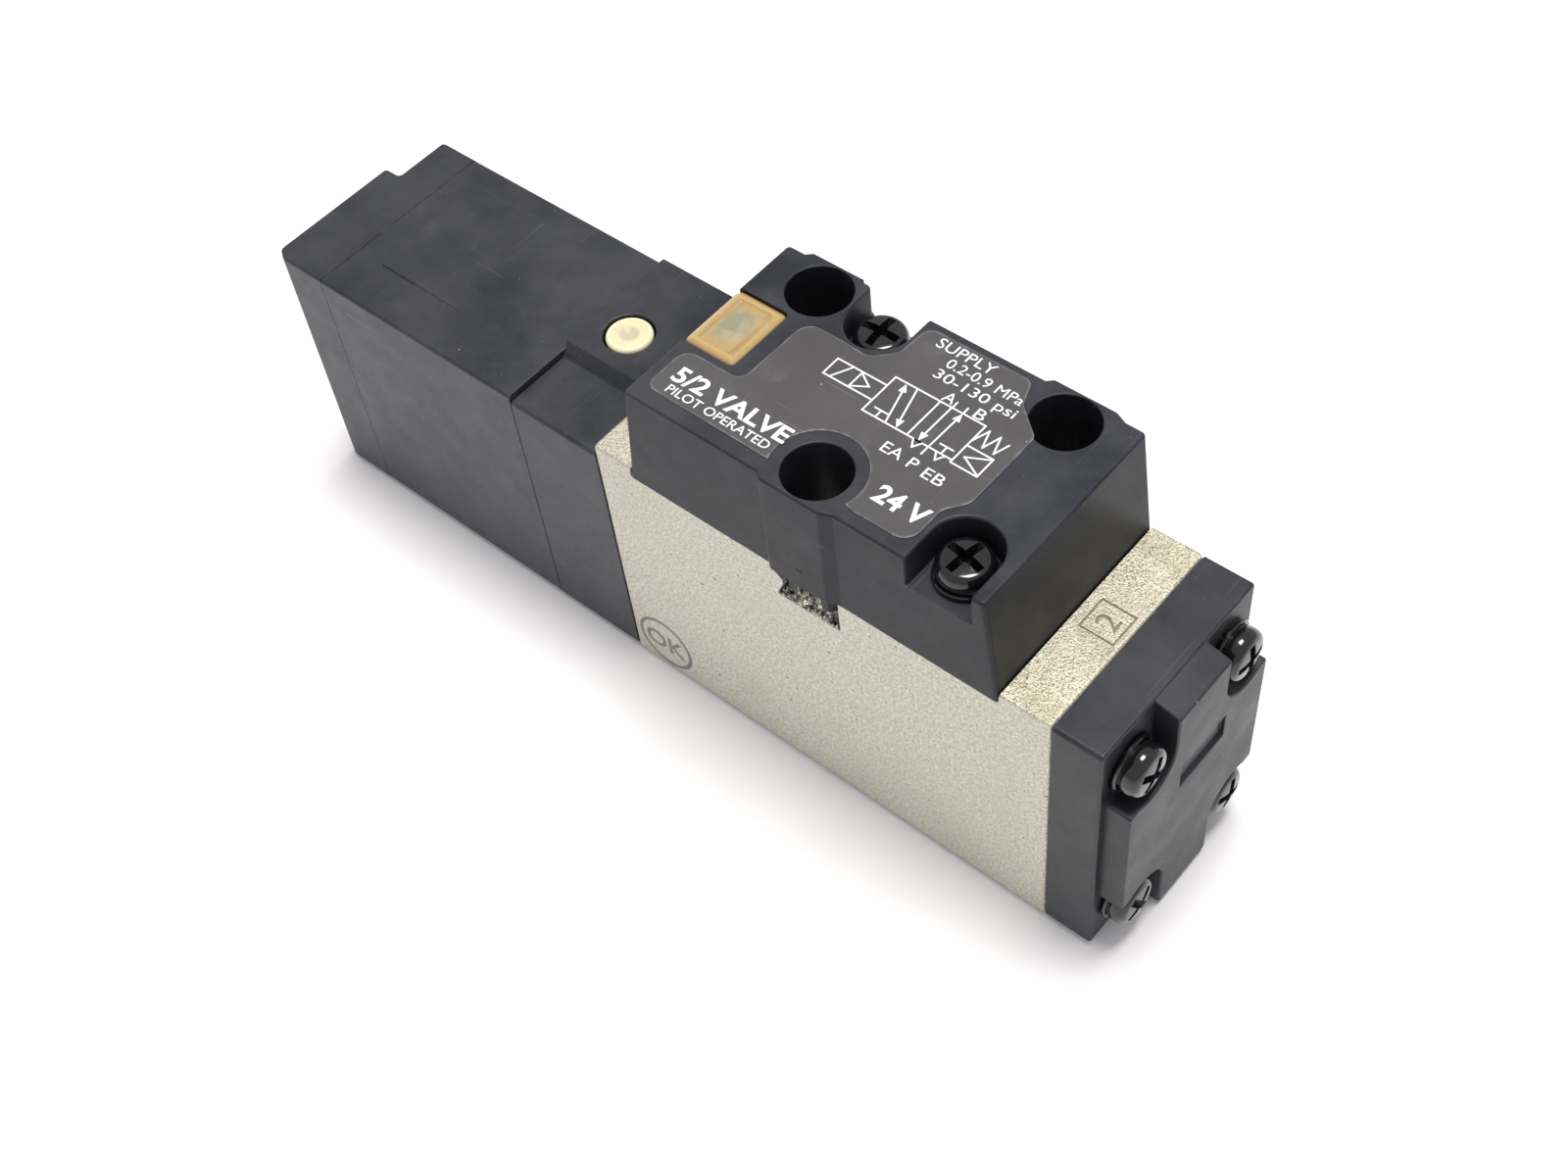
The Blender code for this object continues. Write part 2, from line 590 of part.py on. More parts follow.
def make_top_cover():
    draft = COVER_HALF_TOP / COVER_HALF_BOTTOM
    over = 1.0 * MM
    cover = block(
        "top_cover", (COVER_CENTRE_X - COVER_HALF_BOTTOM, -BODY_HALF_WIDTH, SEAT + GAP),
        (COVER_CENTRE_X + COVER_HALF_BOTTOM, BODY_HALF_WIDTH, COVER_TOP), "black_plastic",
        bevel=0.6 * MM, shrink_top=(draft, 1.0))
    for number, (x, y) in enumerate(BOLTS):
        join(cover, side_bump(number, x, math.copysign(1, y)))
        join(cover, cylinder(f"add_tube_{number}", BOSS_TUBE_R, (x, y, TUBE_END), 8 * MM, segments=24))
    cut(cover, block(
        "cut_cover_cavity", (-21.5 * MM, -4.0 * MM, SEAT - over),
        (20.0 * MM, 4.4 * MM, COVER_TOP - 3.4 * MM)))
    for number, (x, y) in enumerate(BOLTS):
        cut(cover, cylinder(
            f"cut_counterbore_{number}", COUNTERBORE_R, (x, y, TUBE_END - over), 25 * MM, segments=32))
    for number, (x, y) in enumerate(COVER_SCREWS):
        cut(cover, plate(
            f"cut_screw_pocket_{number}", pocket_outline(math.copysign(1, y)), 6 * MM,
            (x, y, POCKET_FLOOR), "Z"))
        cut(cover, cylinder(
            f"cut_cover_shank_{number}", SHANK_R + GAP, (x, y, SEAT - over), 12 * MM, segments=16))
    cut(cover, block(
        "cut_window", (COVER_CENTRE_X - COVER_HALF_BOTTOM, WINDOW_LOW_Y - GAP / 3, WINDOW_FLOOR),
        (WINDOW_RIGHT + GAP / 3, WINDOW_HIGH_Y + GAP / 3, COVER_TOP + over)))
    cut(cover, block(
        "cut_light_well", (-21.3 * MM, -2.2 * MM, SEAT), (-18.6 * MM, 3.2 * MM, COVER_TOP)))
    return cover


def make_window():
    left = COVER_CENTRE_X - COVER_HALF_TOP + 0.05 * MM
    block("indicator_window", (left, WINDOW_LOW_Y, WINDOW_FLOOR + 0.1 * MM),
          (WINDOW_RIGHT, WINDOW_HIGH_Y, COVER_TOP), "amber_plastic", bevel=0.25 * MM)


def make_indicator():
    board_z = SEAT + 3.0 * MM
    board_top = board_z + 1.2 * MM
    block("indicator_board", (-21.0 * MM, -3.6 * MM, board_z), (12.0 * MM, 4.0 * MM, board_top),
          "board_green")
    stem, dome = 1.5 * MM, 5
    profile = [(0, 4.2 * MM)] + [
        (stem * math.sin(math.radians(a)), 2.7 * MM + stem * math.cos(math.radians(a)))
        for a in (90 * i / dome for i in range(1, dome + 1))]
    profile += [(stem, 0), (0, 0)]
    turned("indicator_lamp", profile, (-19.9 * MM, 0.5 * MM, board_top + 0.1 * MM), "Z", "lamp_red",
           segments=20)


def make_label():
    """The film label: a rectangle that makes way for the window, the bolts and the screws."""
    low_x, high_x, low_y, high_y = -22.4 * MM, 14.6 * MM, -11.9 * MM, 12.4 * MM
    label = block("name_label", (low_x, low_y, COVER_TOP + 0.05 * MM),
                  (high_x, high_y, COVER_TOP + LABEL_TOP), "label_film")
    depth = (COVER_TOP - 1 * MM, COVER_TOP + 2 * MM)
    left = COVER_CENTRE_X - COVER_HALF_BOTTOM
    cut(label, block("cut_label_window", (left, WINDOW_LOW_Y - 1.0 * MM, depth[0]),
                     (WINDOW_RIGHT + 1.3 * MM, 16 * MM, depth[1])))
    cut(label, block("cut_label_far_left", (left, 5.4 * MM, depth[0]), (-3.5 * MM, 16 * MM, depth[1])))
    cut(label, block("cut_label_far_right", (11.0 * MM, 6.0 * MM, depth[0]), (20 * MM, 16 * MM, depth[1])))
    cut(label, block("cut_label_near_right", (12.6 * MM, -14 * MM, depth[0]),
                     (20 * MM, -5.6 * MM, depth[1])))
    near_x, near_y = BOLTS[2]
    cut(label, cylinder(
        "cut_label_near_hole", COUNTERBORE_R + 1.3 * MM, (near_x, near_y, depth[0]), 3 * MM))
    return label


def make_cover_screws():
    for number, (x, y) in enumerate(COVER_SCREWS, start=1):
        pan_screw(f"cover_screw_{number}", (x, y, POCKET_FLOOR + GAP), "Z",
                  POCKET_FLOOR - SEAT + COVER_SCREW_GRIP - 1 * MM, turn=math.radians(25 * number))


# ---------------------------------------------------------------- pilot adapter

def make_adapter():
    over = 1.0 * MM
    slope = 1.2 * MM
    low = BASE + ADAPTER_HEIGHT
    outline = [(-PILOT_HALF_WIDTH, BASE), (PILOT_HALF_WIDTH, BASE), (PILOT_HALF_WIDTH, PAD_TOP),
               (PAD_NEAR, PAD_TOP), (PAD_NEAR - slope, low), (-PILOT_HALF_WIDTH, low)]
    adapter = plate(
        "pilot_adapter", outline, ADAPTER_RIGHT - ADAPTER_LEFT, (ADAPTER_LEFT, 0, 0), "X", "black_plastic")
    cut(adapter, cylinder(
        "cut_piston_bore", PISTON_BORE_R, on_axis(PISTON_BORE_END), ADAPTER_RIGHT - PISTON_BORE_END + over,
        "X", segments=32))
    cut(adapter, ring_groove("cut_adapter_groove", ADAPTER_RIGHT, -1))
    cut(adapter, cylinder(
        "cut_pilot_passage", 2.0 * MM + GAP, on_axis(ADAPTER_LEFT - over), 6 * MM, "X", segments=20))
    cut(adapter, cylinder(
        "cut_button_bore", BUTTON_BORE_R, (BUTTON_X, BUTTON_Y, BUTTON_FLOOR), 10 * MM, segments=28))
    cut(adapter, cylinder(
        "cut_stem_bore", 1.5 * MM, (BUTTON_X, BUTTON_Y, STEM_FLOOR), 10 * MM, segments=16))
    cut(adapter, cylinder(
        "cut_stem_groove", 2.25 * MM, (BUTTON_X, BUTTON_Y, STEM_RING_Z - 0.5 * MM), 1.0 * MM, segments=16))
    for number, (y, z) in enumerate(ADAPTER_SCREWS):
        start = on_axis(ADAPTER_LEFT - over, y, z)
        cut(adapter, cylinder(
            f"cut_adapter_head_{number}", INNER_HEAD_R + GAP, start, 4 * MM, "X", segments=20))
        cut(adapter, cylinder(
            f"cut_adapter_shank_{number}", SHANK_R + GAP, start, 16 * MM, "X", segments=12))
    for number, (y, z) in enumerate(HOUSING_SCREWS):
        start = on_axis(ADAPTER_LEFT - over, y, z)
        cut(adapter, cylinder(
            f"cut_housing_thread_{number}", THIN_SHANK_R + GAP, start, 7 * MM, "X", segments=12))
    cut(adapter, block("cut_socket", SOCKET_LOW, SOCKET_HIGH))
    return adapter


def make_adapter_pieces():
    ring("adapter_seal", on_axis(ADAPTER_RIGHT - 0.55 * MM), "X", SEAL_R, 0.5 * MM)
    for number, (y, z) in enumerate(ADAPTER_SCREWS, start=1):
        plain_screw(f"adapter_screw_{number}", on_axis(ADAPTER_LEFT + 3 * MM - GAP, y, z), 17 * MM,
                    INNER_HEAD_R, INNER_HEAD_HEIGHT, SHANK_R)
    nozzle = [(0.9 * MM, SEAT_X), (2.0 * MM, ADAPTER_LEFT - 0.5 * MM), (2.0 * MM, ADAPTER_LEFT + 3.2 * MM),
              (0.4 * MM, ADAPTER_LEFT + 3.2 * MM), (0.4 * MM, SEAT_X)]
    turned("pilot_nozzle", list(reversed(nozzle)), on_axis(0), "X", "brass", segments=20)


def make_plug():
    """The socket's insert and its three contact pins, inside the adapter's underside."""
    floor = SOCKET_HIGH[2] - GAP
    insert = block(
        "plug_insert", (SOCKET_LOW[0] + GAP, SOCKET_LOW[1] + GAP, floor - 2.4 * MM),
        (SOCKET_HIGH[0] - GAP, SOCKET_HIGH[1] - GAP, floor), "nylon")
    middle = (SOCKET_LOW[0] + SOCKET_HIGH[0]) / 2
    for number, y in enumerate((-3.8 * MM, 0.0, 3.8 * MM), start=1):
        half = 0.32 * MM
        hole = half + 0.2 * MM
        cut(insert, block(f"cut_pin_{number}", (middle - hole, y - hole, floor - 5 * MM),
                          (middle + hole, y + hole, floor + 1 * MM)))
        block(f"contact_pin_{number}", (middle - half, y - half, floor - 4.6 * MM),
              (middle + half, y + half, floor - 0.1 * MM), "brass")


def make_button():
    """The push button: cap, skirt and stem, turned about its own vertical axis."""
    top = PAD_TOP + 0.05 * MM
    skirt = BUTTON_FLOOR + BUTTON_STROKE + 0.4 * MM
    profile = [
        (0, top - 0.25 * MM), (0.9 * MM, top - 0.2 * MM), (1.2 * MM, top), (BUTTON_R - 0.4 * MM, top),
        (BUTTON_R, top - 0.4 * MM), (BUTTON_R, skirt), (1.2 * MM, skirt),
        (1.2 * MM, STEM_FLOOR + BUTTON_STROKE + GAP), (0, STEM_FLOOR + BUTTON_STROKE + GAP)]
    origin = (BUTTON_X, BUTTON_Y, 0)
    ring("button_seal", (BUTTON_X, BUTTON_Y, STEM_RING_Z), "Z", 1.78 * MM, 0.36 * MM)
    turned("override_button", profile, origin, "Z", "ivory_plastic", segments=32)
    coil("button_spring", (BUTTON_X, BUTTON_Y, BUTTON_FLOOR + 0.1 * MM), "Z",
         skirt - BUTTON_FLOOR - 0.2 * MM, 2.3 * MM, 0.35 * MM, 3)


# ---------------------------------------------------------------- solenoid

def make_housing():
    over = 1.0 * MM
    housing = block(
        "solenoid_housing", (HOUSING_LEFT, -PILOT_HALF_WIDTH, BASE),
        (HOUSING_RIGHT, PILOT_HALF_WIDTH, PILOT_TOP), "black_plastic", bevel=0.4 * MM)
    join(housing, block(
        "add_land", (HOUSING_LEFT + 3.6 * MM, -7.0 * MM, PILOT_TOP - 1 * MM),
        (HOUSING_RIGHT - 3.8 * MM, 10.0 * MM, PILOT_TOP + 0.3 * MM), bevel=0.15 * MM))
    cut(housing, block(
        "cut_coil_space", (HOUSING_LEFT - over, -PILOT_HALF_WIDTH + SHELL_WALL, BASE + SHELL_WALL),
        (HOUSING_RIGHT + over, PILOT_HALF_WIDTH - SHELL_WALL, PILOT_TOP - SHELL_WALL), bevel=1.0 * MM))
    return housing


def cap_outline():
    """The cap from above: shorter on the far side, with its near corner rounded."""
    near = -PILOT_HALF_WIDTH
    ease = 0.5 * MM
    corner = [(CAP_LEFT + 2.8 * MM, near), (CAP_LEFT + 1.3 * MM, near + 0.35 * MM),
              (CAP_LEFT + 0.35 * MM, near + 1.0 * MM), (CAP_LEFT, near + 1.9 * MM)]
    step_x = CAP_LEFT + CAP_STEP
    return [(CAP_RIGHT, near)] + corner + [
        (CAP_LEFT, CAP_STEP_Y - ease), (CAP_LEFT + ease, CAP_STEP_Y), (step_x, CAP_STEP_Y),
        (step_x, PILOT_HALF_WIDTH - ease), (step_x + ease, PILOT_HALF_WIDTH), (CAP_RIGHT, PILOT_HALF_WIDTH)]


def make_cap():
    over = 1.0 * MM
    cap = plate("solenoid_end_cap", cap_outline(), PILOT_TOP - BASE, (0, 0, BASE), "Z", "black_plastic")
    cut(cap, block("cut_cap_hollow", (CAP_LEFT + 4.0 * MM, -9.0 * MM, BASE + 4.5 * MM),
                   (CAP_RIGHT + over, 8.0 * MM, PILOT_TOP - 4.5 * MM)))
    seat = CAP_LEFT + 4.0 * MM
    for number, (y, z) in enumerate(HOUSING_SCREWS):
        start = on_axis(CAP_LEFT - over, y, z)
        cut(cap, cylinder(
            f"cut_cap_head_{number}", THIN_HEAD_R + GAP, start, seat - CAP_LEFT + over, "X", segments=20))
        cut(cap, cylinder(
            f"cut_cap_shank_{number}", THIN_SHANK_R + GAP, start, 12 * MM, "X", segments=12))
    for number, (y, z) in enumerate(HOUSING_SCREWS, start=1):
        plain_screw(f"housing_screw_{number}", on_axis(seat - GAP, y, z), ADAPTER_LEFT + 5.5 * MM - seat,
                    THIN_HEAD_R, THIN_HEAD_HEIGHT, THIN_SHANK_R)
    return cap


def make_coil():
    wall, flange = 1.0 * MM, 1.2 * MM
    outer = BOBBIN_BORE_R + wall
    profile = [
        (FLANGE_R, COIL_RIGHT), (FLANGE_R, COIL_RIGHT - flange), (outer, COIL_RIGHT - flange),
        (outer, COIL_LEFT + flange), (FLANGE_R, COIL_LEFT + flange), (FLANGE_R, COIL_LEFT),
        (BOBBIN_BORE_R, COIL_LEFT), (BOBBIN_BORE_R, COIL_RIGHT)]
    turned("coil_bobbin", profile, on_axis(0), "X", "nylon", segments=20)
    inner, reach = outer + GAP, FLANGE_R - 0.8 * MM
    left, right = COIL_LEFT + flange + GAP, COIL_RIGHT - flange - GAP
    winding = [(reach, right), (reach, left), (inner, left), (inner, right)]
    turned("coil_winding", winding, on_axis(0), "X", "copper", segments=20)


def make_yoke():
    """The U-shaped iron yoke round the coil, open at the top, with a hole in each leg."""
    left, right = COIL_LEFT - GAP, COIL_RIGHT + GAP
    plate_t, floor = 1.6 * MM, -FLANGE_R - GAP
    top = 10.0 * MM
    outline = [(left - plate_t, floor - plate_t), (right + plate_t, floor - plate_t),
               (right + plate_t, top), (right, top), (right, floor), (left, floor), (left, top),
               (left - plate_t, top)]
    yoke = plate("coil_yoke", outline, 17 * MM, on_axis(0, 8.5 * MM), "Y", "steel")
    cut(yoke, cylinder(
        "cut_yoke_bore", CORE_TUBE_R + GAP, on_axis(left - 5 * MM), 40 * MM, "X", segments=20))


def make_core():
    tube = [(CORE_TUBE_R, -46.6 * MM), (CORE_TUBE_R, -74.2 * MM), (CORE_TUBE_BORE, -74.2 * MM),
            (CORE_TUBE_BORE, -46.6 * MM)]
    turned("core_tube", tube, on_axis(0), "X", "steel", segments=20)
    pocket_r, pocket = 1.9 * MM, 2.5 * MM
    radius = CORE_TUBE_BORE - GAP
    core = [(0, AIR_GAP_X - pocket), (pocket_r, AIR_GAP_X - pocket), (pocket_r, AIR_GAP_X),
            (radius, AIR_GAP_X), (radius, -74.2 * MM), (0, -74.2 * MM)]
    turned("fixed_core", core, on_axis(0), "X", "steel", segments=20)


def make_armature():
    """The armature slides to the fixed core and takes its rubber seat off the nozzle."""
    left = AIR_GAP_X + ARMATURE_STROKE + 0.2 * MM
    right = SEAT_X - 0.9 * MM
    pocket_r, pocket = 1.9 * MM, 5.0 * MM
    seat_r, seat_depth = 1.8 * MM, 2.0 * MM
    seat_floor = right - seat_depth
    profile = [(0, seat_floor - GAP), (seat_r + GAP, seat_floor - GAP), (seat_r + GAP, right),
               (ARMATURE_R, right), (ARMATURE_R, left), (pocket_r, left), (pocket_r, left + pocket),
               (0, left + pocket)]
    turned("armature", profile, on_axis(0), "X", "steel", segments=20)
    cylinder(
        "armature_seat", seat_r, on_axis(seat_floor), seat_depth + 0.6 * MM, "X", "rubber", segments=20)
    start = AIR_GAP_X - 2.5 * MM + 0.1 * MM
    coil("armature_spring", on_axis(start), "X", left + pocket - 0.1 * MM - start, 1.4 * MM, 0.3 * MM, 6)


make_body()
make_gasket()
make_sleeve()
make_sleeve_rings()
make_spool()
make_pilot_piston()
make_return_spring()
make_end_cover()
make_end_screws()
make_top_cover()
make_window()
make_indicator()
make_label()
make_cover_screws()
make_adapter()
make_adapter_pieces()
make_plug()
make_button()
make_housing()
make_cap()
make_coil()
make_yoke()
make_core()
make_armature()
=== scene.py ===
"""Solenoid directional valve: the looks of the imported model, on a plain pale floor in soft light."""
from math import atan2, copysign, cos, exp, pi, radians, sin, tan, tau

import bmesh
import bpy
from mathutils import Matrix, Vector, noise


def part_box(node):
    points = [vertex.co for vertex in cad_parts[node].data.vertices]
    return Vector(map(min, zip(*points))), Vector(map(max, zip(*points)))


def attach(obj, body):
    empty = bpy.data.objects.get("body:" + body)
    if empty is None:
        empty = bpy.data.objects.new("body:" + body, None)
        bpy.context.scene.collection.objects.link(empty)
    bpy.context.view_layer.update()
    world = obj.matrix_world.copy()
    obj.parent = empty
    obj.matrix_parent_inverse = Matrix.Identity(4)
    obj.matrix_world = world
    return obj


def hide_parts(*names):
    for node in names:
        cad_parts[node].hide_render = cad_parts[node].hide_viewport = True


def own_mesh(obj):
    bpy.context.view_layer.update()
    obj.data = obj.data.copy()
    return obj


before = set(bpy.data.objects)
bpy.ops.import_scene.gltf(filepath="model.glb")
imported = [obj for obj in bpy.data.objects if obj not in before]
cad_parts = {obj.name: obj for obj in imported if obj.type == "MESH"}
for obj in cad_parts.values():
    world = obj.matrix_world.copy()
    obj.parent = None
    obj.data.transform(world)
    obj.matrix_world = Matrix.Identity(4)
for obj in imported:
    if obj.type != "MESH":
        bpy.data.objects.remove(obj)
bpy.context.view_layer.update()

MM = 0.001
BODY_LOW, BODY_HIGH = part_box("main_body")
COVER_LOW, COVER_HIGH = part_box("top_cover")
END_LOW, END_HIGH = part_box("end_cover")
PAD_LOW, PAD_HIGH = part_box("pilot_adapter")
SHELL_LOW, SHELL_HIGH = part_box("solenoid_housing")
CAP_LOW, CAP_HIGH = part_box("solenoid_end_cap")
BUTTON_LOW, BUTTON_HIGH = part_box("override_button")
WINDOW_LOW, WINDOW_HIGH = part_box("indicator_window")


def mm(*lengths):
    """Lengths in millimetres, as a list in metres."""
    return [length * MM for length in lengths]


SEAM = 0.03 * MM  # seam left between two visible pieces
OVER = 1.0 * MM  # how far a cutter runs past a face
BAR_STEP = 0.001 * MM  # each printed bar is this much higher than the one before
AXIS_Z = (BODY_LOW.z + BODY_HIGH.z) / 2
SEAT_Z = 36.8 * MM  # the cover stands on the body here
COVER_X = -0.35 * MM
COVER_HALF_BOTTOM, COVER_HALF_TOP = mm(25.15, 23.5)
BOLTS = [Vector((-16.45, 9.9)) * MM, Vector((15.75, 9.9)) * MM, Vector((-0.35, -9.9)) * MM]
NEAR_BOLT = BOLTS[2]
BOLT_SEAT_Z = 31.6 * MM
TUBE_END = 33.8 * MM  # lower end of the cover's tubes round the bolts
PORTS = [(x * MM, y * MM) for x, y in ((-16, 3.4), (-8, -3.4), (0.0, 3.4), (8, -3.4), (16, 3.4))]
SLAB_FACE = 37.3 * MM  # the end cover's flat face, behind its boss
MARK_DEPTH = 0.22 * MM
NOTCH_Z, NOTCH_BACK = mm(32.0, -10.9)
PRINT_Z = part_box("name_label")[1].z - 0.05 * MM  # the print lies on the label here
ADAPTER_BORE_Z = PAD_HIGH.z - 4.6 * MM
BUTTON_X, BUTTON_Y = mm(-39.5, 1.6)


# ---- outlines and solids

def rectangle(left, right, low, high):
    return [(left, low), (right, low), (right, high), (left, high)]


def rounded(points, radius, steps=5):
    """An outline with round corners; radius is one number, or one for each corner."""
    radii = radius if isinstance(radius, list) else [radius] * len(points)
    result = []
    for i, (point, r) in enumerate(zip(points, radii)):
        corner = Vector(point)
        u = corner - Vector(points[i - 1])
        v = Vector(points[(i + 1) % len(points)]) - corner
        limit = 0.49 * min(u.length, v.length)
        u.normalize()
        v.normalize()
        turn = atan2(u.x * v.y - u.y * v.x, u.dot(v))
        reach = abs(tan(turn / 2)) * r
        if reach < 1e-6:
            result.append(corner)
            continue
        if reach > limit:
            r *= limit / reach
            reach = limit
        start = corner - u * reach
        centre = start + Vector((-u.y, u.x)) * copysign(r, turn)
        for k in range(steps + 1):
            result.append(centre + Matrix.Rotation(turn * k / steps, 2) @ (start - centre))
    return result


def arc(centre, radius, first, last, steps):
    """Points on an arc between two angles in degrees."""
    angles = [radians(first + (last - first) * i / steps) for i in range(steps + 1)]
    return [(centre[0] + radius * cos(a), centre[1] + radius * sin(a)) for a in angles]


def inset_outline(outline, inset):
    """The outline moved inwards, or outwards when inset is negative."""
    moved = []
    for i, point in enumerate(outline):
        u = (point - outline[i - 1]).normalized()
        v = (outline[(i + 1) % len(outline)] - point).normalized()
        mitre = Vector((-u.y - v.y, u.x + v.x))
        moved.append(point + mitre * (2 * inset / max(mitre.length_squared, 0.5)))
    return moved


def rounds(low, high, low_r, high_r, steps=3):
    """(height, inset) levels of a solid with rounded edges at both ends."""
    quarter = [pi / 2 * i / steps for i in range(steps + 1)]
    levels = [(low + abs(low_r) * (1 - cos(a)), low_r * (1 - sin(a)))
              for a in (quarter if low_r else quarter[:1])]
    levels += [(high - abs(high_r) * (1 - sin(a)), high_r * (1 - cos(a)))
               for a in (quarter if high_r else quarter[:1])]
    return levels


def link(name, data):
    """A new object in the scene, made of the data."""
    made = bpy.data.objects.new(name, data)
    bpy.context.scene.collection.objects.link(made)
    return made


def add_object(name, shape):
    """An object made of a bmesh, with its faces turned outwards."""
    bmesh.ops.recalc_face_normals(shape, faces=shape.faces)
    mesh = bpy.data.meshes.new(name)
    shape.to_mesh(mesh)
    shape.free()
    return link(name, mesh)


def skin(shape, layers, capped=True):
    """Faces between rings of vertices, and over the two end rings."""
    for lower, upper in zip(layers, layers[1:]):
        for i in range(len(lower)):
            shape.faces.new((lower[i - 1], lower[i], upper[i], upper[i - 1]))
    if capped:
        shape.faces.new(layers[0][::-1])
        shape.faces.new(layers[-1])


def solid(name, outline, levels, axis="Z", warp=None):
    """An outline stacked along an axis through (height, inset) levels, then moved by warp."""
    place = {"X": lambda a, b, h: (h, a, b), "Y": lambda a, b, h: (a, h, b),
             "Z": lambda a, b, h: (a, b, h)}[axis]
    outline = [Vector(point) for point in outline]
    shape = bmesh.new()
    layers = [[shape.verts.new(place(p.x, p.y, height)) for p in inset_outline(outline, inset)]
              for height, inset in levels]
    skin(shape, layers)
    if warp:
        for vert in shape.verts:
            vert.co = warp(vert.co)
    return add_object(name, shape)


def turned(name, profile, centre, axis="Z", segments=64):
    """A turned solid: profile is (radius, height) from its bottom to its top, ends on the axis."""
    lay = {"X": Matrix.Rotation(pi / 2, 3, "Y"), "Z": Matrix.Identity(3)}[axis]
    shape = bmesh.new()
    layers = []
    for radius, height in profile:
        if radius == 0:
            layers.append([shape.verts.new((0, 0, height))])
            continue
        angles = [tau * i / segments for i in range(segments)]
        layers.append([shape.verts.new((radius * cos(a), radius * sin(a), height))
                       for a in angles])
    for lower, upper in zip(layers, layers[1:]):
        for i in range(segments):
            corners = [lower[(i - 1) % len(lower)], lower[i % len(lower)],
                       upper[i % len(upper)], upper[(i - 1) % len(upper)]]
            shape.faces.new([c for k, c in enumerate(corners) if c not in corners[:k]])
    bmesh.ops.transform(shape, verts=shape.verts, matrix=Matrix.Translation(centre) @ lay.to_4x4())
    return add_object(name, shape)


def baked(piece):
    """The piece's final mesh: doubled vertices are merged and slivers dropped, so it is closed."""
    bpy.context.view_layer.update()
    mesh = bpy.data.meshes.new_from_object(piece.evaluated_get(bpy.context.evaluated_depsgraph_get()))
    shape = bmesh.new()
    shape.from_mesh(mesh)
    bmesh.ops.remove_doubles(shape, verts=shape.verts, dist=0.0008 * MM)
    bmesh.ops.dissolve_degenerate(shape, edges=shape.edges, dist=0.0004 * MM)
    shape.to_mesh(mesh)
    shape.free()
    return mesh


def carve(piece, *cutters, operation="DIFFERENCE"):
    """Cuts the cutters out of a piece, or joins them to it, and removes them."""
    for cutter in cutters:
        step = piece.modifiers.new("step", "BOOLEAN")
        step.operation = operation
        step.solver = "EXACT"
        step.object = cutter
    made = baked(piece)
    piece.modifiers.clear()
    piece.data = made
    for cutter in cutters:
        bpy.data.objects.remove(cutter, do_unlink=True)
    return piece


def stepped(x, y, steps, flare=0.0, segments=64):
    """A vertical round cutter of (radius, low, high) steps; the last may widen at its top face."""
    profile = [(0, steps[0][1])]
    for radius, low, high in steps:
        profile += [(radius, low), (radius, high)]
    if flare:
        radius, low, high = steps[-1]
        profile.pop()
        profile += [(radius - inset, height) for height, inset in rounds(low, high, 0, -flare)[1:]]
        profile.append((radius + flare, high + OVER))
    profile.append((0, profile[-1][1]))
    return turned("cutter", profile, (x, y, 0), segments=segments)


def drill_x(radius, left, right, y=0.0, z=AXIS_Z):
    """A round cutter along X."""
    profile = [(0, left), (radius, left), (radius, right), (0, right)]
    return turned("cutter", profile, (0, y, z), "X", segments=48)


def chunk(low, high):
    """A plain box cutter."""
    return solid("cutter", rectangle(low[0], high[0], low[1], high[1]), [(low[2], 0), (high[2], 0)])


# ---- materials

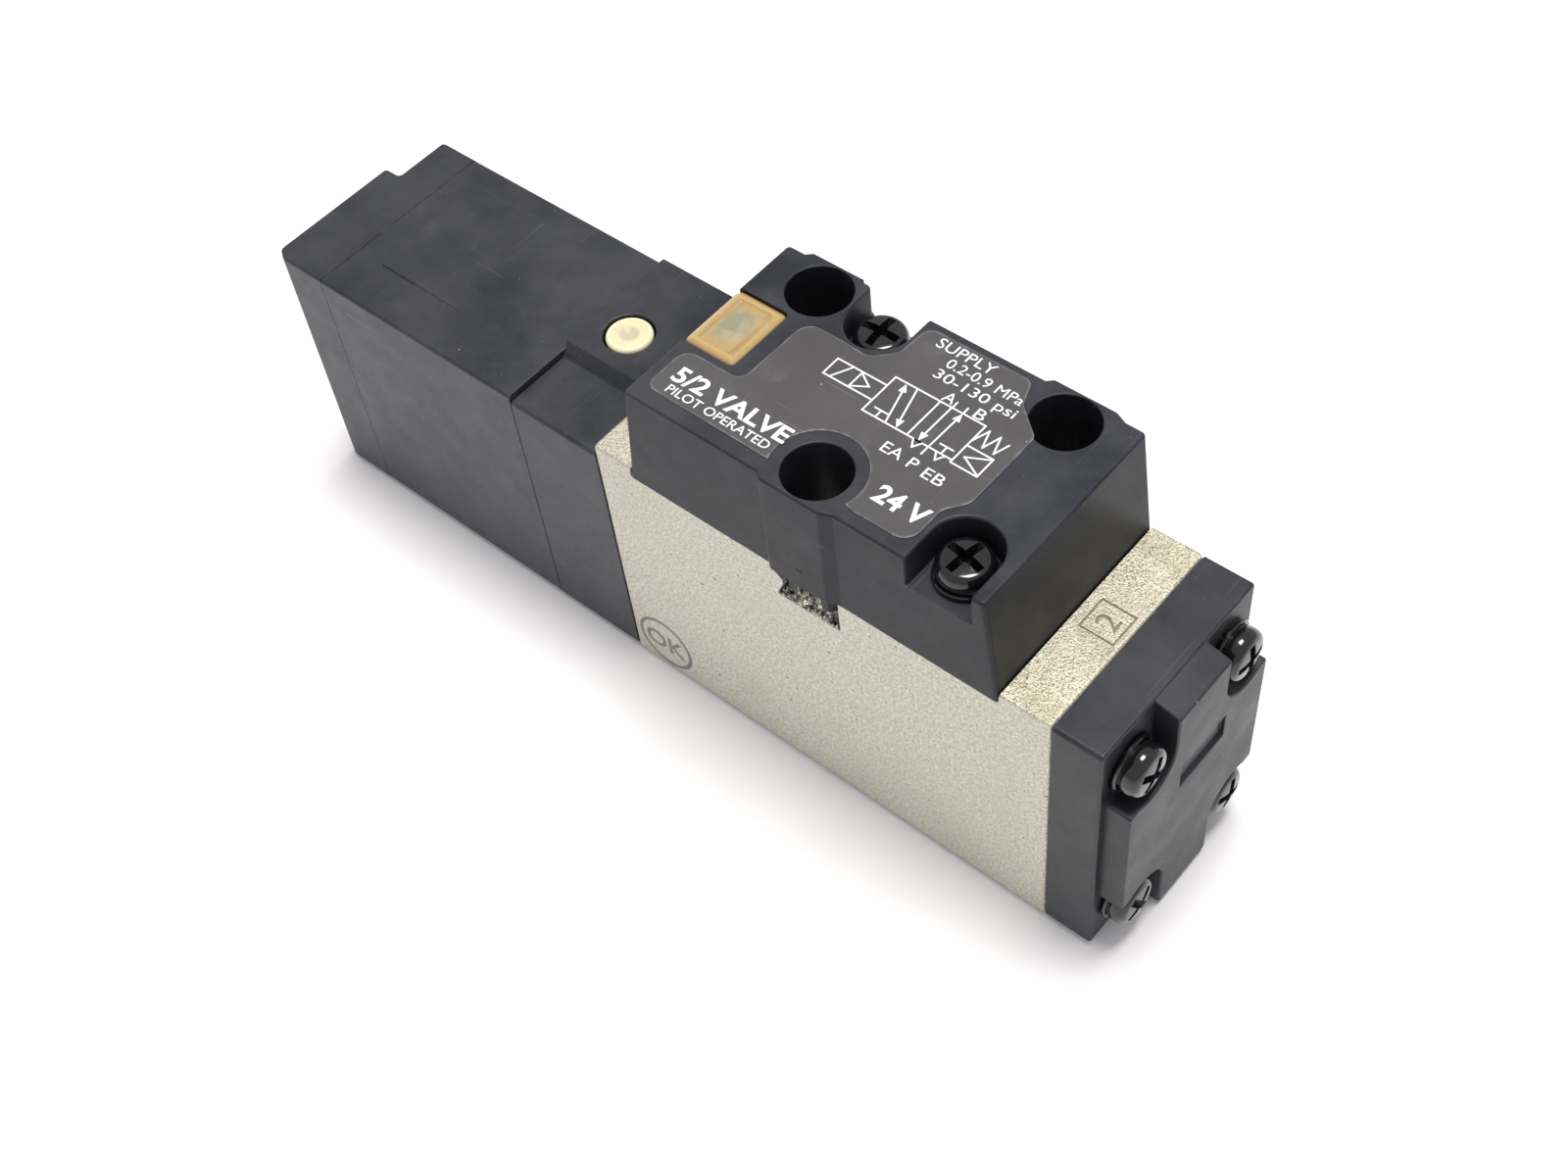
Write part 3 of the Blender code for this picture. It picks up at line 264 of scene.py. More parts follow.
class Paint:
    """A material made of nodes that read the piece's own coordinates, in metres."""

    def __init__(self, name, **sockets):
        self.material = bpy.data.materials.new(name)
        self.material.use_nodes = True
        self.tree = self.material.node_tree
        self.shader = self.tree.nodes["Principled BSDF"]
        self.place = self.node("TexCoord")["Object"]
        for socket, value in sockets.items():
            self.set(socket.replace("_", " "), value)

    def feed(self, socket, value):
        """Links an output into an input, or sets the input to a value."""
        if isinstance(value, bpy.types.NodeSocket):
            self.tree.links.new(value, socket)
        else:
            socket.default_value = value

    def node(self, kind, *inputs, **named):
        """A new node's outputs; names in lower case are settings, the others are inputs."""
        node = self.tree.nodes.new("ShaderNode" + kind)
        for name, value in named.items():
            if name.islower():
                setattr(node, name, value)
            else:
                self.feed(node.inputs[name.replace("_", " ")], value)
        for socket, value in zip(node.inputs, inputs):
            self.feed(socket, value)
        return node.outputs

    def set(self, socket, value):
        """Feeds an input of the material's shader."""
        self.feed(self.shader.inputs[socket], value)

    def stretched(self, scale):
        """The piece's coordinates, scaled by axis, for streaks."""
        return self.node("Mapping", Vector=self.place, Scale=scale)["Vector"]

    def noise(self, scale, detail=2.0, roughness=0.5, place=None):
        """Cloudy noise; scale is about how many clouds fit in a metre."""
        return self.node("TexNoise", Vector=place or self.place, Scale=scale, Detail=detail,
                         Roughness=roughness)["Fac"]

    def specks(self, scale, size):
        """1 inside scattered dots, 0 elsewhere: one cell in a few holds a dot."""
        cells = self.node("TexVoronoi", Vector=self.place, Scale=scale)
        near = self.span(cells["Distance"], (size, size * 0.5))
        chosen = self.span(self.node("SeparateColor", cells["Color"])[0], (0.80, 0.84))
        return self.maths(near, chosen, "MULTIPLY")

    def span(self, source, given, wanted=(0.0, 1.0)):
        """The source's values, moved from one span to another and held inside it."""
        return self.node("MapRange", Value=source, From_Min=given[0], From_Max=given[1],
                         To_Min=wanted[0], To_Max=wanted[1])["Result"]

    def maths(self, first, second, operation="ADD"):
        return self.node("Math", first, second, operation=operation)["Value"]

    def blend(self, first, second, factor):
        """From the first colour at factor 0 to the second at 1."""
        first, second = ((*c, 1.0) if isinstance(c, tuple) else c for c in (first, second))
        return self.node("Mix", data_type="RGBA", Factor=factor, A=first, B=second)["Result"]

    def edges(self):
        """1 along edges, 0 on open faces."""
        soft = self.node("Bevel", samples=4, Radius=0.35 * MM)["Normal"]
        plain = self.node("NewGeometry")["Normal"]
        agreement = self.node("VectorMath", soft, plain, operation="DOT_PRODUCT")["Value"]
        return self.span(agreement, (0.99, 0.90))

    def upward(self):
        """1 on faces that look up, 0 on the sides."""
        normal = self.node("SeparateXYZ", self.node("NewGeometry")["Normal"])
        return self.span(normal["Z"], (0.6, 0.9))

    def away_from(self, low, high):
        """0 at the middle of a box seen from above, 1 at its edges; also the same along X and Y."""
        middle, half = (low + high) / 2, (high - low) / 2
        place = self.node("SeparateXYZ", self.place)
        reach = []
        for axis, name in enumerate("XY"):
            offset = self.maths(place[name], middle[axis], "SUBTRACT")
            reach.append(self.maths(self.maths(offset, 0.0, "ABSOLUTE"), half[axis], "DIVIDE"))
        return self.maths(reach[0], reach[1], "MAXIMUM"), reach

    def done(self, colour, rough, relief, depth, strength):
        """Feeds the shader its colour, roughness and fine relief, depth in metres."""
        self.set("Base Color", colour)
        self.set("Roughness", rough)
        self.set("Normal", self.node("Bump", Height=relief, Distance=depth, Strength=strength)["Normal"])
        return self.material


def tinted(colour, factor):
    """The colour made lighter or darker, and held at white."""
    return tuple(min(1.0, factor * part) for part in colour)


def moulded(name, dark, light, rough=(0.33, 0.52), grain=5200, depth=0.012 * MM, gloss=0.5, painted_top_light=1.0):
    """Moulded plastic: fine grain, smudges, worn edges with a painted highlight, hair scratches, dust; its
    last factor paints light on its top.
    """
    paint = Paint(name, Specular_IOR_Level=gloss)
    scuff_and_edge_highlight, faint_dust, dust = tinted(light, 3.0), (0.30, 0.30, 0.30), (0.42, 0.42, 0.42)
    smudge = paint.noise(75, 5.0, 0.62)
    film = paint.noise(240, 4.0, 0.6)
    patches = paint.span(paint.noise(700, 3.0), (0.46, 0.62), (0.0, 0.5))
    worn = paint.maths(paint.edges(), patches, "MULTIPLY")
    up = paint.upward()
    # painted light: the faces that look up are made lighter than the sides by the last factor
    low = paint.blend(dark, tinted(dark, painted_top_light), up)
    high = paint.blend(light, tinted(light, painted_top_light), up)
    colour = paint.blend(low, high, paint.span(smudge, (0.36, 0.62)))
    colour = paint.blend(colour, tinted(light, 1.9), paint.span(film, (0.60, 0.78), (0.0, 0.45)))
    # worn edges with a painted highlight: the light scuff colour along the edges also stands in for light
    # catching them
    colour = paint.blend(colour, scuff_and_edge_highlight, worn)
    for scale in ((2600, 60, 900), (90, 2900, 700)):
        hair = paint.noise(1.0, 1.0, 0.5, paint.stretched(scale))
        colour = paint.blend(colour, scuff_and_edge_highlight, paint.span(hair, (0.765, 0.79), (0.0, 0.35)))
    colour = paint.blend(colour, dust, paint.specks(420, 0.045))
    colour = paint.blend(colour, faint_dust, paint.specks(900, 0.05))
    fine = paint.noise(grain, 2.0, 0.6)
    uneven = paint.maths(smudge, paint.maths(fine, film))
    return paint.done(colour, paint.span(uneven, (1.15, 1.85), rough), fine, depth, 0.6)


def cast_metal():
    """Sand-textured die-cast aluminium with a warm passivated skin, pits, a few stains and painted glints on
    its top.
    """
    paint = Paint("cast_aluminium_look", Metallic=0.62)
    grain = paint.noise(2600, 3.0, 0.65)
    sparkle = paint.noise(4600, 2.5, 0.65)
    cloud = paint.noise(70, 4.0, 0.6)
    up = paint.upward()
    # painted glints: on faces that look up, fine points of the colour are lit and darkened as if light
    # glints off the grains
    glint = paint.span(sparkle, (0.36, 0.58))
    side = paint.blend((0.455, 0.444, 0.372), (0.72, 0.702, 0.592), paint.span(grain, (0.38, 0.62)))
    golden = paint.blend((0.20, 0.18, 0.105), (0.77, 0.74, 0.575), glint)
    dull = paint.blend((0.24, 0.22, 0.13), (0.52, 0.50, 0.36), glint)
    golden = paint.blend(golden, dull, paint.span(paint.noise(210, 4.0, 0.65), (0.48, 0.64), (0.0, 0.85)))
    colour = paint.blend(side, golden, paint.maths(up, 0.85, "MULTIPLY"))
    colour = paint.blend(colour, (0.55, 0.51, 0.42), paint.span(cloud, (0.5, 0.75), (0.0, 0.6)))
    stain = paint.span(paint.noise(120, 3.0), (0.66, 0.78), (0.0, 0.7))
    stain = paint.maths(stain, paint.span(up, (0.0, 1.0), (0.2, 1.0)), "MULTIPLY")
    colour = paint.blend(colour, (0.34, 0.21, 0.08), stain)
    colour = paint.blend(colour, (0.06, 0.05, 0.04), paint.specks(420, 0.10))
    colour = paint.blend(colour, (0.16, 0.14, 0.11), paint.specks(850, 0.14))
    rough = paint.span(sparkle, (0.35, 0.65), (0.30, 0.58))
    return paint.done(colour, rough, paint.maths(grain, sparkle), 0.08 * MM, 0.8)


def polished(name, colour, rough=(0.12, 0.26), metallic=0.0, depth=0.006 * MM, **sockets):
    """A smooth coated or machined surface with faint tool marks."""
    paint = Paint(name, Metallic=metallic, **sockets)
    marks = paint.noise(2400, 3.0, 0.6)
    tint = paint.span(paint.noise(260, 3.0), (0.3, 0.7))
    colour = paint.blend(colour, tinted(colour, 0.72), tint)
    return paint.done(colour, paint.span(marks, (0.3, 0.7), rough), marks, depth, 0.5)


def amber_lens():
    """Aged amber plastic: a clear brown rim, a pale cloudy middle and brown streaks along Y."""
    paint = Paint("amber_lens_look", Coat_Weight=0.3, Coat_Roughness=0.2, Subsurface_Weight=0.1,
                  Subsurface_Scale=0.8 * MM)
    streak = paint.noise(1.0, 3.0, 0.6, paint.stretched((900, 120, 200)))
    patch = paint.noise(420, 3.0, 0.6)
    edge, _ = paint.away_from(WINDOW_LOW, WINDOW_HIGH)
    wobble = paint.maths(edge, paint.span(patch, (0.3, 0.7), (-0.14, 0.14)))
    middle = paint.blend((0.30, 0.28, 0.18), (0.42, 0.37, 0.225), paint.span(patch, (0.4, 0.6)))
    colour = paint.blend(middle, (0.46, 0.32, 0.135), paint.span(wobble, (0.35, 0.62)))
    colour = paint.blend(colour, (0.30, 0.165, 0.05), paint.span(streak, (0.54, 0.72), (0.0, 0.7)))
    colour = paint.blend(colour, (0.52, 0.36, 0.14), paint.span(edge, (0.72, 0.80), (0.0, 0.9)))
    colour = paint.blend(colour, (0.20, 0.11, 0.035), paint.span(edge, (0.92, 0.99), (0.0, 0.8)))
    return paint.done(colour, paint.span(patch, (0.3, 0.7), (0.22, 0.38)), streak, 0.02 * MM, 0.4)


def ivory_plastic():
    """Yellowed ivory plastic, darker in the dish of the button from dirt and painted shade."""
    paint = Paint("ivory_plastic_look", Subsurface_Weight=0.2, Subsurface_Scale=0.6 * MM)
    cloud = paint.noise(420, 3.0, 0.6)
    _, (across, along) = paint.away_from(BUTTON_LOW, BUTTON_HIGH)
    squares = paint.maths(paint.maths(across, 2.0, "POWER"), paint.maths(along, 2.0, "POWER"))
    # darker towards the middle of the dish: dirt with painted shade in the hollow
    dish = paint.span(squares, (0.10, 0.24), (0.85, 0.0))
    colour = paint.blend((0.80, 0.725, 0.46), (0.70, 0.635, 0.42), paint.span(cloud, (0.45, 0.7)))
    colour = paint.blend(colour, (0.56, 0.51, 0.34), dish)
    colour = paint.blend(colour, (0.90, 0.83, 0.57), paint.span(squares, (0.62, 0.72), (0.0, 0.8)))
    rough = paint.span(cloud, (0.3, 0.7), (0.30, 0.45))
    return paint.done(colour, rough, paint.noise(5000), 0.01 * MM, 0.4)


def soft_rubber():
    """Matt rubber with a grey bloom."""
    paint = Paint("rubber_look", Specular_IOR_Level=0.35)
    fine = paint.noise(4200, 3.0, 0.6)
    bloom = paint.span(paint.noise(150, 4.0), (0.45, 0.75))
    colour = paint.blend((0.018, 0.018, 0.019), (0.05, 0.05, 0.052), bloom)
    return paint.done(colour, paint.span(fine, (0.3, 0.7), (0.6, 0.85)), fine, 0.02 * MM, 0.5)


def torn_metal():
    """Freshly torn metal: bright points over crevices darkened by painted shade."""
    paint = Paint("torn_metal_look", Metallic=0.75)
    break_up = paint.noise(1500, 4.0, 0.7)
    # painted shade: the low places of the relief are given the dark colour
    colour = paint.blend((0.06, 0.057, 0.047), (0.66, 0.64, 0.57), paint.span(break_up, (0.42, 0.58)))
    return paint.done(colour, paint.span(break_up, (0.3, 0.7), (0.45, 0.22)), break_up, 0.12 * MM, 0.9)


def printing_ink():
    """White ink, worn thin in places."""
    paint = Paint("printing_ink_look")
    worn = paint.span(paint.noise(3200, 3.0, 0.7), (0.62, 0.74), (0.0, 0.5))
    colour = paint.blend((0.86, 0.87, 0.88), (0.30, 0.30, 0.30), worn)
    return paint.done(colour, paint.span(worn, (0.0, 0.5), (0.42, 0.6)), worn, 0.01 * MM, 0.3)


LOOKS = {"cast_aluminium": cast_metal(), "torn_metal": torn_metal(), "amber_plastic": amber_lens(),
         "ivory_plastic": ivory_plastic(), "rubber": soft_rubber(), "printing_ink": printing_ink()}
for kind, *given in (
        ("black_plastic", (0.010, 0.012, 0.018), (0.031, 0.033, 0.040)),
        # the last number paints the faces that look up lighter than the sides: painted light
        ("cover_plastic", (0.010, 0.011, 0.014), (0.024, 0.025, 0.030), (0.33, 0.52), 5200, 0.012 * MM,
         0.25, 2.0),
        ("end_cover_plastic", (0.010, 0.011, 0.015), (0.024, 0.025, 0.030), (0.33, 0.52), 5200, 0.012 * MM,
         0.42, 1.3),
        ("label_film", (0.060, 0.056, 0.056), (0.076, 0.072, 0.072), (0.42, 0.52), 7000, 0.006 * MM),
        ("label_edge", (0.11, 0.108, 0.11), (0.15, 0.148, 0.15), (0.3, 0.45)),
        ("stamp_ink", (0.14, 0.135, 0.125), (0.24, 0.23, 0.21), (0.5, 0.65)),
        ("mark_grime", (0.13, 0.11, 0.065), (0.26, 0.225, 0.145), (0.6, 0.8))):
    LOOKS[kind] = moulded(kind + "_look", *given)
for kind, *given in (
        ("steel", (0.58, 0.58, 0.60), (0.2, 0.34), 1.0),
        ("brass", (0.72, 0.52, 0.24), (0.2, 0.34), 1.0),
        ("copper", (0.60, 0.26, 0.13), (0.28, 0.42), 0.9, 0.03 * MM),
        ("board_green", (0.02, 0.16, 0.06), (0.35, 0.5)),
        ("lamp_red", (0.55, 0.03, 0.02), (0.1, 0.2)),
        ("nylon", (0.74, 0.74, 0.70), (0.4, 0.55))):
    LOOKS[kind] = polished(kind + "_look", *given)
LOOKS["black_screw"] = polished("black_screw_look", (0.007, 0.007, 0.008), (0.10, 0.22), Coat_Weight=0.45,
                                Coat_Roughness=0.08, Specular_IOR_Level=0.45)


def finish(piece, slot, *nodes, body="valve_body", look=None, smooth=32):
    """Gives a piece its shading and look, hangs it under its body's empty and hides the CAD nodes it
    replaces.
    """
    mesh = piece.data
    mesh.materials.clear()
    mesh.materials.append(LOOKS[look or slot])
    mesh.shade_smooth()
    mesh.set_sharp_from_angle(angle=radians(smooth))
    weigh = piece.modifiers.new("normals", "WEIGHTED_NORMAL")
    weigh.keep_sharp = True
    weigh.weight = 100
    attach(piece, body)
    if nodes:
        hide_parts(*nodes)
    return piece


# ---- body

def make_body():
    """The die-cast body, with its bores, ports, notch and sunk mark."""
    outline = rounded(rectangle(BODY_LOW.x, BODY_HIGH.x, BODY_LOW.y, BODY_HIGH.y), 0.7 * MM)
    body = solid("valve_body", outline, rounds(BODY_LOW.z, BODY_HIGH.z, 0.4 * MM, 0.45 * MM))
    gasket = rounded(rectangle(*mm(-20.9, 20.9, -7.6, 7.6)), 3.3 * MM)
    gasket_depth, spool_r, port_r, port_top = 0.6 * MM, 6.9 * MM, 3.0 * MM, AXIS_Z - 3 * MM
    under = BODY_LOW.z - OVER
    cutters = [chunk((COVER_LOW.x - SEAM, BODY_LOW.y - OVER, SEAT_Z),
                     (COVER_X + COVER_HALF_BOTTOM + SEAM, BODY_HIGH.y + OVER, BODY_HIGH.z + OVER)),
               solid("cutter", gasket, [(under, 0), (BODY_LOW.z + gasket_depth, 0)]),
               drill_x(spool_r, BODY_LOW.x - OVER, BODY_HIGH.x + OVER)]
    cutters += [stepped(x, y, [(port_r, under, port_top)], segments=40) for x, y in PORTS]
    bolt_r, head_r, tube_r, tube_floor = 2.25 * MM, 3.6 * MM, 4.55 * MM, TUBE_END - 0.3 * MM
    bore = [(bolt_r, under, BOLT_SEAT_Z), (head_r, BOLT_SEAT_Z, tube_floor),
            (tube_r, tube_floor, SEAT_Z + OVER)]
    cutters += [stepped(x, y, bore) for x, y in BOLTS]
    mark = square_mark("cutter", BODY_HIGH.z - MARK_DEPTH, BODY_HIGH.z + OVER)
    carve(body, *cutters, notch_cutter(), *mark)
    finish(body, "cast_aluminium", "main_body")


def notch_cutter():
    """The notch in the body's near face, with a lobe in its left side."""
    left, lobe, right = mm(-4.3, -3.4, 4.4)
    points = [(-4.9 * MM, SEAT_Z + OVER), (-4.9 * MM, SEAT_Z - 0.6 * MM), (lobe, NOTCH_Z + 3.0 * MM),
              (lobe, NOTCH_Z + 2.2 * MM), (left, NOTCH_Z), (right, NOTCH_Z), (right, SEAT_Z + OVER)]
    radii = mm(0, 0.4, 0.5, 0.4, 0.15, 0.1, 0)
    outline = rounded([(NEAR_BOLT.x + x, z) for x, z in points], radii)
    return solid("cutter", outline, [(BODY_LOW.y - OVER, 0), (NOTCH_BACK, 0)], "Y")


def square_mark(name, low, high):
    """A number in a square frame on the right strip, between two heights."""
    x, y, half, line = mm(28.2, 0.4, 2.2, 0.25)
    inner = half - line
    square = solid(name + "_frame", rectangle(x - half, x + half, y - half, y + half), [(low, 0), (high, 0)])
    carve(square, chunk((x - inner, y - inner, low - OVER), (x + inner, y + inner, high + OVER)))
    number = lettering("2", 2.7 * MM, high - low, 0.01 * MM)
    return [square, place_letters(number, name + "_number", (x, y, (low + high) / 2), "Z")]


def make_body_marks():
    """Grime and painted shade in the sunk mark, and an inspection stamp in dark ink: a ring with two
    letters.
    """
    bottom = BODY_HIGH.z - MARK_DEPTH
    # a dark sheet in the bottom of the sunk mark: grime, and painted shade in the groove
    for piece in square_mark("mark_grime", bottom - 0.02 * MM, bottom + 0.06 * MM):
        finish(piece, "cast_aluminium", look="mark_grime")
    ring_x, ring_z, radius, half_line = -25.7 * MM, BODY_LOW.z + 4.65 * MM, 4.0 * MM, 0.26 * MM
    inner, outer = radius - half_line, radius + half_line
    back, front = BODY_LOW.y + 0.02 * MM, BODY_LOW.y - 0.015 * MM
    shape = bmesh.new()
    around = 96
    rings = []
    for i in range(around):
        a = tau * i / around
        rings.append([shape.verts.new((ring_x + r * cos(a), y, ring_z + r * sin(a)))
                      for r, y in ((inner, back), (inner, front), (outer, front), (outer, back))])
    skin(shape, rings + rings[:1], capped=False)
    finish(add_object("stamp_ring", shape), "cast_aluminium", look="stamp_ink")
    word = lettering("OK", 3.1 * MM, 0.035 * MM, 0.07 * MM)
    place_letters(word, "stamp_letters", (ring_x, (back + front) / 2, ring_z), "X")
    finish(word, "cast_aluminium", look="stamp_ink")


def torn_height(x, y):
    """Height of the torn metal above the notch's floor, with a heap at the left."""
    place = Vector((x, y, 0)) / MM
    torn = 0.12 + 0.5 * abs(noise.fractal(place * 1.6, 0.6, 2.2, 6))
    heap_x, heap_y = NEAR_BOLT.x / MM - 2.6, BODY_LOW.y / MM + 1.2
    heap = exp(-((place.x - heap_x) / 1.1) ** 2 - ((place.y - heap_y) / 0.9) ** 2)
    return (torn + heap * (0.9 + 1.2 * noise.noise(place * 2.3))) * MM


def make_notch_floor():
    """Torn cast metal on the floor of the notch in front of the cover's near tube."""
    across, back, root = 84, 26, 0.3 * MM
    left, right = NEAR_BOLT.x - 4.25 * MM, NEAR_BOLT.x + 4.38 * MM
    front, rear = BODY_LOW.y + 0.04 * MM, NOTCH_BACK - 0.02 * MM
    places_x = [left + (right - left) * i / across for i in range(across + 1)]
    places_y = [front + (rear - front) * j / back for j in range(back + 1)]
    shape = bmesh.new()
    layers = []
    for height in (lambda x, y: -root, torn_height):
        rows = [[shape.verts.new((x, y, NOTCH_Z + height(x, y))) for x in places_x] for y in places_y]
        layers.append(rows)
        for near, far in zip(rows, rows[1:]):
            for i in range(across):
                shape.faces.new((near[i], near[i + 1], far[i + 1], far[i]))
    rims = [rows[0] + [row[-1] for row in rows[1:]] + rows[-1][-2::-1] + [row[0] for row in rows[-2:0:-1]]
            for rows in layers]
    skin(shape, rims, capped=False)
    finish(add_object("notch_torn_metal", shape), "cast_aluminium", look="torn_metal")


# ---- cover

def cover_draft(point):
    """The cover's end faces lean inwards towards the top."""
    along = point.x - COVER_X
    reach = 22.4 * MM
    if abs(along) < reach:
        return point
    rise = (point.z - SEAT_Z) / (COVER_HIGH.z - SEAT_Z)
    lean = (COVER_HALF_BOTTOM - COVER_HALF_TOP) * rise
    return Vector((point.x - copysign(lean, along), point.y, point.z))


def bump_points(x, side):
    """The pad on the cover's side beside a bolt, left to right."""
    inner, outer = side * BODY_HIGH.y, side * (BODY_HIGH.y + 0.65 * MM)
    return [(x - 5.0 * MM, inner), (x - 4.3 * MM, outer), (x + 3.4 * MM, outer), (x + 4.9 * MM, inner)]


def make_cover():
    """The hollow top cover, with tubes round the bolts, screw pockets and the window's hole."""
    left, right = COVER_X - COVER_HALF_BOTTOM, COVER_X + COVER_HALF_BOTTOM
    near, far, top = BODY_LOW.y, BODY_HIGH.y, COVER_HIGH.z
    points = [(left, near)] + bump_points(NEAR_BOLT.x, -1) + [(right, near), (right, far)]
    points += bump_points(BOLTS[1].x, 1)[::-1] + bump_points(BOLTS[0].x, 1)[::-1] + [(left, far)]
    corner = 0.55 * MM
    bump = mm(0.15, 0.5, 1.0, 0.5)
    radii = [corner] + bump + [corner, corner] + bump[::-1] + bump[::-1] + [corner]
    outline = rounded(points, radii, 4)
    levels = rounds(SEAT_Z + SEAM, top, 0.12 * MM, 0.38 * MM, 4)
    cover = solid("valve_cover", outline, levels, warp=cover_draft)
    tube_r, counterbore_r, edge = mm(4.3, 3.8, 0.22)
    tubes = [stepped(x, y, [(tube_r, TUBE_END, TUBE_END + 6 * MM)]) for x, y in BOLTS]
    carve(cover, *tubes, operation="UNION")
    cutters = [stepped(x, y, [(counterbore_r, TUBE_END - OVER, top)], edge, 80) for x, y in BOLTS]
    for name in ("cover_screw_1", "cover_screw_2"):
        low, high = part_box(name)
        cutters.append(pocket_cutter((low.x + high.x) / 2, (low.y + high.y) / 2))
    play, lead = mm(0.1, 0.15)
    hole = rectangle(left - 5 * MM, WINDOW_HIGH.x + play, WINDOW_LOW.y - play, WINDOW_HIGH.y + play)
    cutters += [
        chunk((-21.5 * MM, -4.0 * MM, SEAT_Z - OVER), (20 * MM, 4.4 * MM, top - 3.4 * MM)),
        chunk((-21.3 * MM, -2.2 * MM, SEAT_Z), (-18.6 * MM, 3.2 * MM, top)),
        solid("cutter", rounded(hole, mm(0, 0.7, 0.7, 0)),
              rounds(WINDOW_LOW.z - play, top, 0, -lead) + [(top + OVER, -lead)]),
        chunk((-6 * MM, near - 2 * MM, TUBE_END - OVER), (5 * MM, near + 0.25 * MM, SEAT_Z))]
    carve(cover, *cutters)
    finish(cover, "black_plastic", "top_cover", look="cover_plastic")


def pocket_cutter(x, y):
    """A screw pocket, open to the nearer side, with rolled edges."""
    floor, radius, arc_steps = 47.3 * MM, 3.95 * MM, 24
    side = copysign(1, y)
    mouth = side * (BODY_HIGH.y + 0.28 * MM) - y
    out = mouth + side * 3 * MM
    wide = radius + 1.6 * MM
    points = arc((0, 0), radius, 0, -side * 180, arc_steps)
    points += [(-radius, mouth), (-wide, mouth), (-wide, out), (wide, out), (wide, mouth), (radius, mouth)]
    radii = [0] * (arc_steps + 1) + mm(0.9, 0, 0, 0, 0, 0.9)
    if side > 0:
        points.reverse()
        radii.reverse()
    points = [(x + px, y + py) for px, py in points]
    roll = 0.35 * MM
    levels = rounds(floor, COVER_HIGH.z, 0.25 * MM, -roll, 4) + [(COVER_HIGH.z + OVER, -roll)]
    return solid("cutter", points_ccw(rounded(points, radii, 4)), levels)


def points_ccw(points):
    """The same outline, running counter-clockwise."""
    area = sum(points[i - 1][0] * points[i][1] - points[i][0] * points[i - 1][1] for i in range(len(points)))
    return points if area > 0 else points[::-1]


def make_window():
    """The amber window, with a bevelled rim and a shallow panel sunk in its top."""
    low, high, top = WINDOW_LOW, WINDOW_HIGH, WINDOW_HIGH.z
    outline = rounded(rectangle(low.x, high.x, low.y, high.y), 0.75 * MM)
    window = solid("amber_window", outline, [
        (low.z, 0.1 * MM), (low.z + 0.1 * MM, 0), (top - 0.42 * MM, 0), (top - 0.36 * MM, 0.05 * MM),
        (top - 0.05 * MM, 0.55 * MM), (top, 0.65 * MM)])
    rim = 1.05 * MM
    panel = rounded(rectangle(low.x + rim, high.x - rim, low.y + rim, high.y - rim), 0.5 * MM)
    carve(window, solid("cutter", panel, [
        (top - 0.2 * MM, 0.28 * MM), (top - 0.16 * MM, 0.2 * MM), (top, 0), (top + OVER, 0)]))
    finish(window, "amber_plastic", "indicator_window")


# ---- label

# corners of the label, in mm: x, y and corner radius
LABEL_OUTLINE = [
    (-22.3, -11.4, 1.2), (-22.3, -5.2, 1.6), (-14.6, -5.2, 1.4), (-14.4, 5.4, 1.8), (-9.5, 5.4, 2.0),
    (-6.0, 5.2, 2.0), (-3.6, 7.6, 2.2), (-3.4, 12.3, 1.4), (9.8, 12.3, 1.0), (10.9, 9.2, 2.2),
    (14.5, 6.3, 1.2), (14.5, -4.2, 1.6), (12.7, -6.6, 2.0), (12.7, -11.8, 1.8), (6.0, -11.8, 0.8)]


def label_outline():
    """The label's outline, with a round bay for the near bolt."""
    corners = [(x * MM, y * MM) for x, y, _ in LABEL_OUTLINE]
    radii = [r * MM for _, _, r in LABEL_OUTLINE]
    bay = arc(NEAR_BOLT, 5.45 * MM, -18, 198, 26)
    return points_ccw([Vector(p) for p in rounded(corners + bay, radii + [0.0] * len(bay), 6)])


def make_label():
    """The dark label film, with a paler edge."""
    bottom, top = COVER_HIGH.z - 0.03 * MM, PRINT_Z
    film = solid("label_film", label_outline(), rounds(bottom, top, 0, 0.06 * MM))
    finish(film, "label_film", "name_label")
    edge = 0.1 * MM
    rim = solid("label_rim", label_outline(),
                [(bottom, -edge), (top - 0.05 * MM, -edge), (top - 0.03 * MM, -0.02 * MM)])
    finish(rim, "label_film", look="label_edge")


def lettering(text, height, thickness, bold):
    """Raised letters, with their capital height as given, starting at the origin."""
    capital_share = 0.73  # of the font's size
    curve = bpy.data.curves.new("lettering", "FONT")
    curve.body = text
    curve.size = height / capital_share
    curve.offset = bold
    curve.extrude = thickness / 2
    curve.resolution_u = 4
    drawn = link("lettering", curve)
    mesh = baked(drawn)
    bpy.data.objects.remove(drawn, do_unlink=True)
    return link("lettering", mesh)


def place_letters(word, name, place, axis):
    """Names the letters, centres them on a place and turns them a quarter round an axis."""
    low, high = span_of(word)
    word.data.transform(Matrix.Translation(place) @ Matrix.Rotation(pi / 2, 4, axis)
                        @ Matrix.Translation(-(low + high) / 2))
    word.name = word.data.name = name
    return word


def span_of(piece):
    """The lowest and highest corners of an unmoved piece's mesh."""
    corners = [vert.co for vert in piece.data.vertices]
    return (Vector([min(c[i] for c in corners) for i in range(3)]),
            Vector([max(c[i] for c in corners) for i in range(3)]))


def print_patch(shape, corners, thickness):
    """A flat printed patch with the corners given."""
    skin(shape, [[shape.verts.new((c.x, c.y, h)) for c in corners] for h in (PRINT_Z, PRINT_Z + thickness)])


